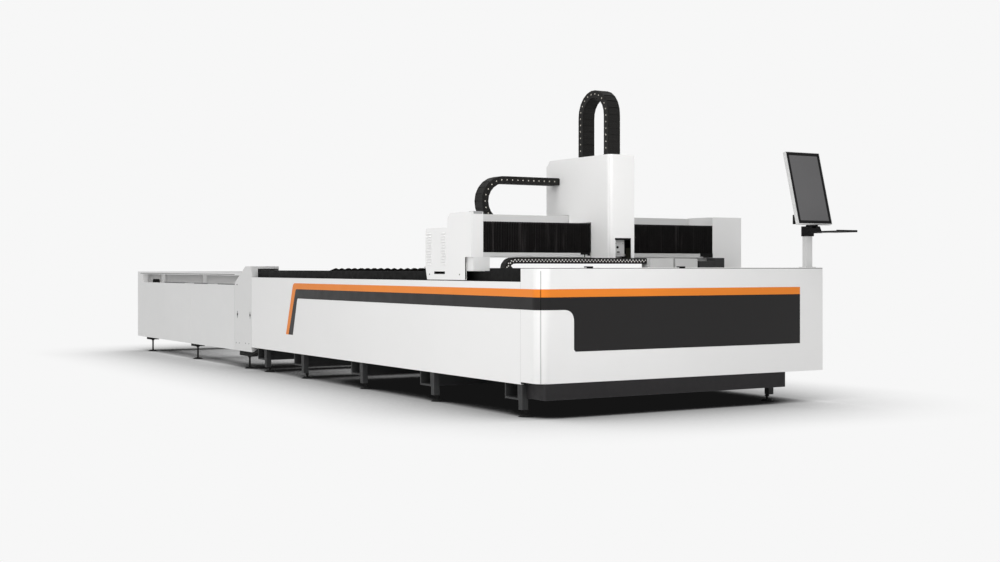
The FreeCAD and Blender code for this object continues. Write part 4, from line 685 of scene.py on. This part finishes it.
def bellows(name, node, fixed_at_low, seed):
    """Pleated cloth folded over the beam's guides: a crest and a valley for every pleat."""
    low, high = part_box(node)
    plate = 0.004
    drop = 0.013
    start = low[1] + plate
    length = high[1] - low[1] - 2 * plate
    count = round(length / PLEAT)
    pitch = length / count
    crease = 0.0008
    crest = 0.0004
    wander = random.Random(seed)
    build = Build()
    rings = []

    def ring(y, depth, shift):
        """The cloth's line at one place along: over the top, down the front and back under."""
        front = high[0] - depth
        top = high[2] - depth
        foot = low[2] + depth
        soft = 0.005
        cut = soft * 0.3
        points = [(low[0], top), (front - soft, top), (front - cut, top - cut),
                  (front, top - soft)]
        steps = 5
        for step in range(1, steps):
            points.append((front, top - soft + (foot + 2 * soft - top) * step / steps))
        points += [(front, foot + soft), (front - cut, foot + cut), (front - soft, foot),
                   (low[0], foot)]
        bow = [shift * math.sin(math.pi * number / (len(points) - 1))
               for number in range(len(points))]
        return [Vector((x, y + bend, z)) for (x, z), bend in zip(points, bow)]

    for number in range(count):
        at = start + number * pitch
        shift = wander.uniform(-0.0012, 0.0012)
        deep = drop + wander.uniform(-0.001, 0.001)
        if number:
            rings += [ring(at - crease, crest, shift), ring(at + crease, crest, shift)]
        else:
            rings.append(ring(at, crest, 0.0))
        middle = at + pitch / 2
        rings += [ring(middle - crease, deep, shift), ring(middle + crease, deep, shift)]
    rings.append(ring(start + length, crest, 0.0))
    size = len(rings[0])
    faces = []
    for number in range(len(rings) - 1):
        for step in range(size - 1):
            here = number * size + step
            faces.append((here, here + 1, here + size + 1, here + size))
    build.add([point for line in rings for point in line], faces)
    cloth = build.piece(name, [CLOTH])
    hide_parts(node)
    bodies = ("gantry", "carriage") if fixed_at_low else ("carriage", "gantry")
    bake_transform(cloth)
    for end, body in ((low[1], bodies[0]), (high[1] - plate, bodies[1])):
        frame_piece = Build()
        outline = [(low[0], low[2]), (high[0], low[2]), (high[0], high[2]), (low[0], high[2])]
        frame_piece.prism(outline, lambda x, z, y: Vector((x, y, z)), end, end + plate)
        tag = "low" if end == low[1] else "high"
        frame_piece.piece(f"{name}_frame_{tag}", [BLACK], body, fold=0.001)


# ---- operator's panel

SCREEN_TILT = math.radians(14.6)


def dress_screen():
    """Black frame and grey display on the one screen node, told apart by their depth."""
    mesh = NODES["monitor_screen"].data
    mesh.materials.append(BEZEL)
    recess = 0.0005
    front = Vector((math.cos(SCREEN_TILT), 0, math.sin(SCREEN_TILT)))
    levels = [polygon.center.dot(front) for polygon in mesh.polygons]
    outermost = max(levels)
    for polygon, level in zip(mesh.polygons, levels):
        sunk = polygon.normal.dot(front) > 0.99 and outermost - level > recess
        polygon.material_index = 0 if sunk else 1


def second_paint(node, look, border_y):
    """Gives the node's faces to the right of a line, in machine millimetres, another look."""
    mesh = NODES[node].data
    mesh.materials.append(look)
    border = row(0, border_y).y
    for polygon in mesh.polygons:
        if polygon.center.y > border:
            polygon.material_index = 1


# ---- trim, seams and fittings

CORNER = 80.0                  # radius of the end cover's left corner, millimetres
COVER_FOOT = 0.222             # heights on the end cover, metres
BAND_FOOT = 0.677
LINE_FOOT = 0.756
LINE_TOP = 0.806
COVER_TOP = 0.919              # where its upright groove ends
UPRIGHT = Vector((0, 0, 1))
TO_SIDE = Vector((0, -1, 0))
TO_END = Vector((1, 0, 0))


def on_diagonal(centre):
    """Places for an outline across a rounded left front corner: a along it, b outwards."""
    out = Vector((1, -1, 0)).normalized()
    over = Vector((1, 1, 0)).normalized()

    def place(a, b, z):
        return centre + over * a / 1000 + out * b / 1000 + UPRIGHT * z

    return place


def plan(x, y, height):
    """A point of a plan outline in the machine's millimetres, at a height in metres."""
    return row(x, y) + UPRIGHT * height


def along_cover(out, end_y):
    """Plan line of the end cover, that far outside it, from its back edge to end_y."""
    points = [(-219.0, -out)]
    steps = 10
    for step in range(steps + 1):
        angle = math.pi / 2 * step / steps
        reach = CORNER + out
        points.append((-CORNER + reach * math.sin(angle), CORNER - reach * math.cos(angle)))
    return points + [(out, end_y)]


def corner_line():
    """A strip of painted shade in the end cover's corner groove, and joints in band colours."""
    line = Build()
    half = 3.4
    middle = CORNER * math.sqrt(0.5)
    place = on_diagonal(row(middle - CORNER, CORNER - middle))
    bottom = -1.45
    sunk = -0.25
    flush = 0.4
    # Grey, dark orange and black paint the groove's shade in the white, the orange line and the
    # dark band.
    for low, high, top, look in ((COVER_FOOT, BAND_FOOT, sunk, 0), (BAND_FOOT, LINE_FOOT, flush, 2),
                                 (LINE_FOOT, LINE_TOP, flush, 1), (LINE_TOP, COVER_TOP, sunk, 0)):
        outline = [(-half, bottom), (half, bottom), (half, top), (-half, top)]
        line.prism(outline, place, low, high, look)
    joint = [(-221.5, -1.15), (-216.5, -1.15), (-216.5, 0.5), (-221.5, 0.5)]
    line.prism(joint, plan, 0.6772, 0.7558, 3)
    line.prism(joint, plan, 0.7562, 0.8058, 4)
    line.piece("corner_groove_painted_shade", [SEAM_GREY_AND_GROOVE_SHADE, ORANGE_LINE, BLACK, BAND, ORANGE], "bed")


def end_cover_trim():
    """A painted shadow under the top flange, seams at the back edge, and two rubber buffers."""
    seam = Build()
    end_y = 2362.0
    outline = along_cover(0.4, end_y) + along_cover(-1.0, end_y)[::-1]
    # A dark strip under the top flange: the flange's painted shadow line.
    seam.prism(outline, plan, 0.9330, 0.9365)
    joint = [(-220.1, -0.2), (-219.1, -0.2), (-219.1, 0.8), (-220.1, 0.8)]
    for low, high in ((COVER_FOOT, 0.676), (0.807, 0.845)):
        seam.prism(joint, plan, low, high, 1)
    seam.piece("end_cover_shadow_line_and_joints", [GAP, SEAM_GREY_AND_GROOVE_SHADE], "bed")
    buffers = Build()
    for middle_y in (376.0, 1113.0):
        buffers.block(row(-30.0, middle_y - 25.0, 940.2), row(-0.5, middle_y + 25.0, 948.0))
        buffers.block(row(-0.5, middle_y - 25.0, 934.0), row(1.2, middle_y + 25.0, 948.0))
    buffers.piece("deck_buffers", [RUBBER], "bed", fold=0.001)


def plate_corner():
    """The wide dark round at the inner corner of the end plate."""
    corner_y = 256.0
    corner_z = 677.0
    reach = 76.0
    lap = 8.0
    outline = [(corner_y + lap, corner_z + lap), (corner_y - reach, corner_z + lap)]
    steps = 8
    for step in range(steps + 1):
        t = step / steps
        outline.append((corner_y - reach * (1 - t) ** 2, corner_z - reach * t ** 2))
    outline.append((corner_y + lap, corner_z - reach))
    corner = Build()
    corner.prism(outline, lambda y, z, x: row(x, y, z), 0.2, 1.15)
    corner.piece("band_corner", [BAND], "bed")


def bellows_feet():
    """Black sliding shoes below the bellows' inner end and at the right end cover."""
    front = -845.5
    back = -849.5
    shoe = Build()
    shoe.block(row(back, 888.0, 1031.0), row(front, 968.0, 1045.0))
    shoe.block(row(back, 919.0, 1013.0), row(front, 926.0, 1031.0))
    shoe.block(row(back, 946.0, 1024.0), row(front, 968.0, 1031.0))
    shoe.piece("bellows_shoe_left", [RUBBER], "carriage", fold=0.0008)
    shoe = Build()
    shoe.block(row(back, 1962.0, 1021.0), row(front, 2079.0, 1045.0))
    shoe.block(row(back, 1990.0, 1014.0), row(front, 2079.0, 1021.0))
    shoe.piece("bellows_shoe_right", [RUBBER], "gantry", fold=0.0008)


def carriage_trim():
    """The cover's upright front-edge seam, and painted shadow and shade at the window."""
    seam = Build()
    half = 1.1
    inner = 33.2
    outer = 34.25
    outline = [(-half, inner), (half, inner), (half, outer), (-half, outer)]
    seam.prism(outline, on_diagonal(row(-654.0, 1007.0)), 1.004, 1.700)
    seam.piece("carriage_cover_seam", [SEAM_GREY_AND_GROOVE_SHADE], "carriage")
    # Black strips along the window's top and right edges: painted shadow of the window's edges.
    edge_strip = Build()
    edge_strip.block(row(-625.0, 1019.0, 1131.0), row(-619.6, 1152.0, 1144.5))
    edge_strip.block(row(-625.0, 1149.0, 1006.0), row(-620.6, 1152.0, 1137.0))
    edge_strip.piece("window_edge_painted_shadow", [RUBBER], "carriage", fold=0.0006)
    # A black panel with ribs on the window's inner right wall paints the shade inside; its lower
    # part is olive.
    shade_lining = Build()
    shade_lining.block(row(-760.0, 1178.0, 1078.0), row(-624.0, 1181.5, 1250.0))
    shade_lining.block(row(-760.0, 1178.0, 1003.0), row(-624.0, 1181.5, 1078.0), 1)
    for number in range(7):
        z = 1086.0 + 21.0 * number
        shade_lining.block(row(-750.0, 1174.5, z), row(-632.0, 1178.0, z + 9.0))
    shade_lining.piece("window_lining_painted_shade", [BLACK, OLIVE], "carriage", fold=0.0006)


def head_fittings():
    """What shows of the cutting head in the window: plates, a lens drawer and its pipes."""
    head = Build()
    front = -655.0
    head.block(row(front, 1044.0, 1102.0), row(front + 3.0, 1116.0, 1196.0))
    head.block(row(front, 1042.0, 1036.0), row(front + 5.0, 1118.0, 1060.0))
    head.block(row(front, 1048.0, 1068.0), row(front + 1.5, 1112.0, 1095.0))
    head.block(row(front + 5.0, 1056.0, 1044.0), row(front + 9.0, 1078.0, 1052.0), 1)
    for y in (1050.0, 1110.0):
        for z in (1108.0, 1190.0):
            head.disc(row(front + 3.0, y, z), TO_END, 0.0035, 0.002, 1, 6)
    head.disc(row(front + 1.5, 1064.0, 1081.0), TO_END, 0.009, 0.006, 1)
    head.piece("head_covers", [PALE_FRAME, PLASTIC], "head", fold=0.0008)
    pipes = Build()
    for x, y in ((-672.0, 1134.0), (-700.0, 1138.0), (-686.0, 1149.0)):
        pipes.disc(row(x, y, 1020.0), UPRIGHT, 0.0085, 0.016, 1)
        pipes.disc(row(x, y, 1036.0), UPRIGHT, 0.0062, 0.200)
        for number in range(18):
            pipes.disc(row(x, y, 1042.0 + 10.5 * number), UPRIGHT, 0.0072, 0.005)
    pipes.block(row(-712.0, 1124.0, 1012.0), row(-709.0, 1176.0, 1230.0))
    pipes.block(row(-706.0, 1124.0, 1012.0), row(-664.0, 1156.0, 1020.0))
    pipes.block(row(-706.0, 1124.0, 1222.0), row(-664.0, 1156.0, 1230.0))
    pipes.piece("coolant_pipes", [PLASTIC, ZINC], "head")


def left_cover_trim():
    """Painted shade at the top edge, edge seals and a screw on the gantry's left end cover."""
    # The grey plate paints the shaded top and the shadow under the cover's front edge.
    top_shade = Build()
    top_shade.block(row(-905.0, 20.0, 1315.2), row(-848.5, 96.0, 1318.0))
    top_shade.block(row(-850.8, 24.0, 1300.0), row(-848.5, 92.0, 1315.2))
    top_shade.piece("cover_edge_painted_shade", [SHADE_GREY], "gantry", fold=0.001)
    edge_strip = Build()
    edge_strip.block(row(-936.0, 8.0, 860.0), row(-929.5, 12.0, 1010.5))
    edge_strip.block(row(-1474.0, 8.0, 850.8), row(-936.0, 11.0, 857.0))
    edge_strip.piece("left_cover_seals", [RUBBER], "gantry")
    screw = Build()
    for x, z in ((-1011.7, 893.0), (-1440.0, 893.0)):
        screw.disc(row(x, 7.0, z), TO_SIDE, 0.0052, 0.0015)
    screw.piece("left_cover_screws", [PLASTIC], "gantry")


def tower_trim():
    """Rivets of the tower's hood and the seam along the table's side."""
    rivets = Build()
    for x, z in ((-5210.0, 231.0), (-5047.0, 236.0), (-5290.0, 231.0), (-4960.0, 236.0)):
        rivets.disc(row(x, 0.0, z), TO_SIDE, 0.006, 0.0009)
    for x in (-5284.0, -5262.0):
        rivets.disc(row(x, 0.0, 780.0), TO_SIDE, 0.0055, 0.0009)
    rivets.piece("hood_rivets", [GAP], "bed")
    seam = Build()
    seam.block(row(-8392.0, -0.6, 872.0), row(-5336.0, 0.6, 878.0))
    seam.piece("table_seam", [GAP], "bed")


def box_seams():
    """Lines round the lids of the two pale boxes on the deck."""
    lines = Build()
    back = -500.0
    front = -499.5
    foot = 900.0
    for left, right, top, look in ((1230.0, 1435.0, 1006.0, 0), (1446.0, 1650.0, 1008.0, 1)):
        lines.block(row(back, left, foot), row(front, left + 3.0, top), look)
        lines.block(row(back, left, top - 4.0), row(front, right, top), look)
        lines.block(row(back, right - 3.0, foot), row(front, right, top), 0)
    lines.piece("junction_box_seams", [SEAM_GREY_AND_GROOVE_SHADE, GAP], "bed")


def chain_anchor():
    """The dark bracket inside the bend of the chain across the deck."""
    low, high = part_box("front_cable_chain")
    profile = [(98.0, 891.0), (170.0, 891.0), (158.0, 922.0), (128.0, 950.0), (98.0, 950.0)]
    bracket = Build()
    inset = 0.004

    def place(y, z, x):
        return Vector((x, row(0, y).y, z / 1000))

    bracket.prism(profile, place, low.x + inset, high.x - inset)
    bracket.piece("chain_anchor", [LINK], "bed", fold=0.002)


def bezel_frame():
    """The inner border of the screen's black frame, laid on the display's own edge."""
    mesh = NODES["monitor_screen"].data
    shown = [face for face in mesh.polygons if face.material_index == 0]
    corners = [mesh.vertices[number].co for face in shown for number in face.vertices]
    front = shown[0].normal.copy()
    over = Vector((0, 1, 0))
    up = front.cross(over)
    if up.z < 0:
        up = -up
    left = min(corner.dot(over) for corner in corners)
    right = max(corner.dot(over) for corner in corners)
    foot = min(corner.dot(up) for corner in corners)
    head = max(corner.dot(up) for corner in corners)
    level = corners[0].dot(front)
    wide = 0.009
    thick = 0.0006
    border = Build()

    def place(a, b, height):
        return over * a + up * b + front * (level + height)

    for a0, a1, b0, b1 in ((left, left + wide, foot, head), (right - wide, right, foot, head),
                           (left, right, foot, foot + wide), (left, right, head - wide, head)):
        border.prism([(a0, b0), (a1, b0), (a1, b1), (a0, b1)], place, 0.0, thick)
    border.piece("bezel_border", [BEZEL], "monitor")


def dress_case():
    """The knuckle below the case, between the bracket's ears, is black."""
    mesh = NODES["monitor_case"].data
    mesh.materials.append(PLASTIC)
    case_foot = 1.2385
    for polygon in mesh.polygons:
        if polygon.center.z < case_foot:
            polygon.material_index = 1


def monitor_bracket():
    """The black rubber corner behind the screen's lower left edge."""
    corner = Build()
    corner.block(row(-52.0, 2131.0, 1242.0), row(-30.0, 2142.0, 1308.0))
    corner.piece("monitor_corner", [PLASTIC], "monitor", fold=0.002)


cable_chains()
bellows("bellows_cloth_left", "bellows_left", True, 11)
bellows("bellows_cloth_right", "bellows_right", False, 12)
dress_screen()
second_paint("junction_boxes", DARK, 1659)      # the two boxes nearest the right
# The recess's faces take the brighter white: painted light that lifts their shade.
second_paint("table_panel_left", LIT_WHITE, 30)    # the recess behind the skin of the side
corner_line()
plate_corner()
end_cover_trim()
bellows_feet()
carriage_trim()
head_fittings()
left_cover_trim()
tower_trim()
box_seams()
chain_anchor()
monitor_bracket()
bezel_frame()
dress_case()


# ------------------------------------------------------------------ light, floor, camera

BACKGROUND = 0.93              # what the camera sees
AMBIENT = 0.60                 # what lights the machine
FLOOR_REACH = 400.0            # metres


def add_sun(name, direction, strength, spread):
    lamp = bpy.data.lights.new(name, "SUN")
    lamp.energy = strength
    lamp.angle = math.radians(spread)
    sun = bpy.data.objects.new(name, lamp)
    bpy.context.scene.collection.objects.link(sun)
    sun.rotation_euler = Vector(direction).to_track_quat("Z", "Y").to_euler()


def add_softbox(name, place, aim, size, power, spread=180):
    """A large soft lamp that the camera and the reflections don't show."""
    lamp = bpy.data.lights.new(name, "AREA")
    lamp.shape = "RECTANGLE"
    lamp.size, lamp.size_y = size
    lamp.energy = power
    lamp.spread = math.radians(spread)
    softbox = bpy.data.objects.new(name, lamp)
    bpy.context.scene.collection.objects.link(softbox)
    softbox.location = place
    away = Vector(place) - Vector(aim)
    softbox.rotation_euler = away.to_track_quat("Z", "Y").to_euler()
    softbox.visible_camera = False
    softbox.visible_glossy = False


def studio():
    """Even light from all round, a soft sun from above and two softboxes on the near corner."""
    world = bpy.data.worlds.new("studio")
    bpy.context.scene.world = world
    world.use_nodes = True
    tree = world.node_tree
    path = tree.nodes.new("ShaderNodeLightPath")
    level = tree.nodes.new("ShaderNodeMapRange")
    level.inputs["To Min"].default_value = AMBIENT
    level.inputs["To Max"].default_value = BACKGROUND
    tree.links.new(path.outputs["Is Camera Ray"], level.inputs["Value"])
    sky = tree.nodes["Background"]
    sky.inputs["Color"].default_value = (1.0, 1.0, 1.0, 1.0)
    tree.links.new(level.outputs[0], sky.inputs["Strength"])
    add_sun("sun", (0.3, -0.45, 1.0), 0.9, 60)
    add_softbox("side_softbox", (4.2, -6.6, 2.6), (3.2, -1.2, 0.5), (3.0, 2.4), 64)
    add_softbox("end_softbox", (9.4, -2.6, 2.6), (4.1, -0.6, 0.6), (3.0, 2.4), 44)
    add_softbox("upper_softbox", (8.2, -2.4, 3.7), (3.4, -0.8, 1.35), (1.4, 1.0), 4, 36)


def pale_floor():
    """A floor as bright as the background, with a painted shadow under and beside the machine."""
    mesh = bpy.data.meshes.new("floor")
    far = FLOOR_REACH
    mesh.from_pydata(
        [(-far, -far, 0), (far, -far, 0), (far, far, 0), (-far, far, 0)],
        [],
        [(0, 1, 2, 3)],
    )
    floor = bpy.data.objects.new("floor", mesh)
    bpy.context.scene.collection.objects.link(floor)
    made = Shader("pale_floor", Roughness=0.9)
    made.set("Specular IOR Level", 0.0)
    made.set("Base Color", (0.88, 0.88, 0.88))
    made.colour(
        made.mix(made.noise(0.8, 2.0), (0.882, 0.882, 0.882), (0.878, 0.878, 0.878))
    )
    # Ambient occlusion dims the floor's glow: a painted shadow of the machine.
    open_sky = made.node("AmbientOcclusion", Distance=1.3, samples=16).outputs["AO"]
    near = made.remap(open_sky, 0.008, 1.0, 0.30, 0.97)
    glow = made.node("Emission", {"Strength": near})
    path = made.node("LightPath").outputs["Is Camera Ray"]
    both = made.node("MixShader", {0: path, 1: made.surface.outputs[0], 2: glow.outputs[0]})
    glow.inputs["Color"].default_value = (BACKGROUND, BACKGROUND, BACKGROUND, 1.0)
    out = made.tree.nodes["Material Output"]
    made.tree.links.new(both.outputs[0], out.inputs["Surface"])
    mesh.materials.append(made.material)


def camera():
    """The photograph's view: level, 31 degrees off the machine's length."""
    data = bpy.data.cameras.new("camera")
    data.sensor_width = 36.0
    data.lens = 49.28
    data.shift_y = -0.0135
    data.clip_end = 1000.0
    eye = bpy.data.objects.new("camera", data)
    bpy.context.scene.collection.objects.link(eye)
    eye.location = (11.1928, -5.7745, 0.9405)
    ahead = Vector((-0.8562, 0.5166, 0.0))
    eye.rotation_euler = ahead.to_track_quat("-Z", "Y").to_euler()
    bpy.context.scene.camera = eye


studio()
pale_floor()
camera()
bpy.context.scene.view_settings.view_transform = "Standard"
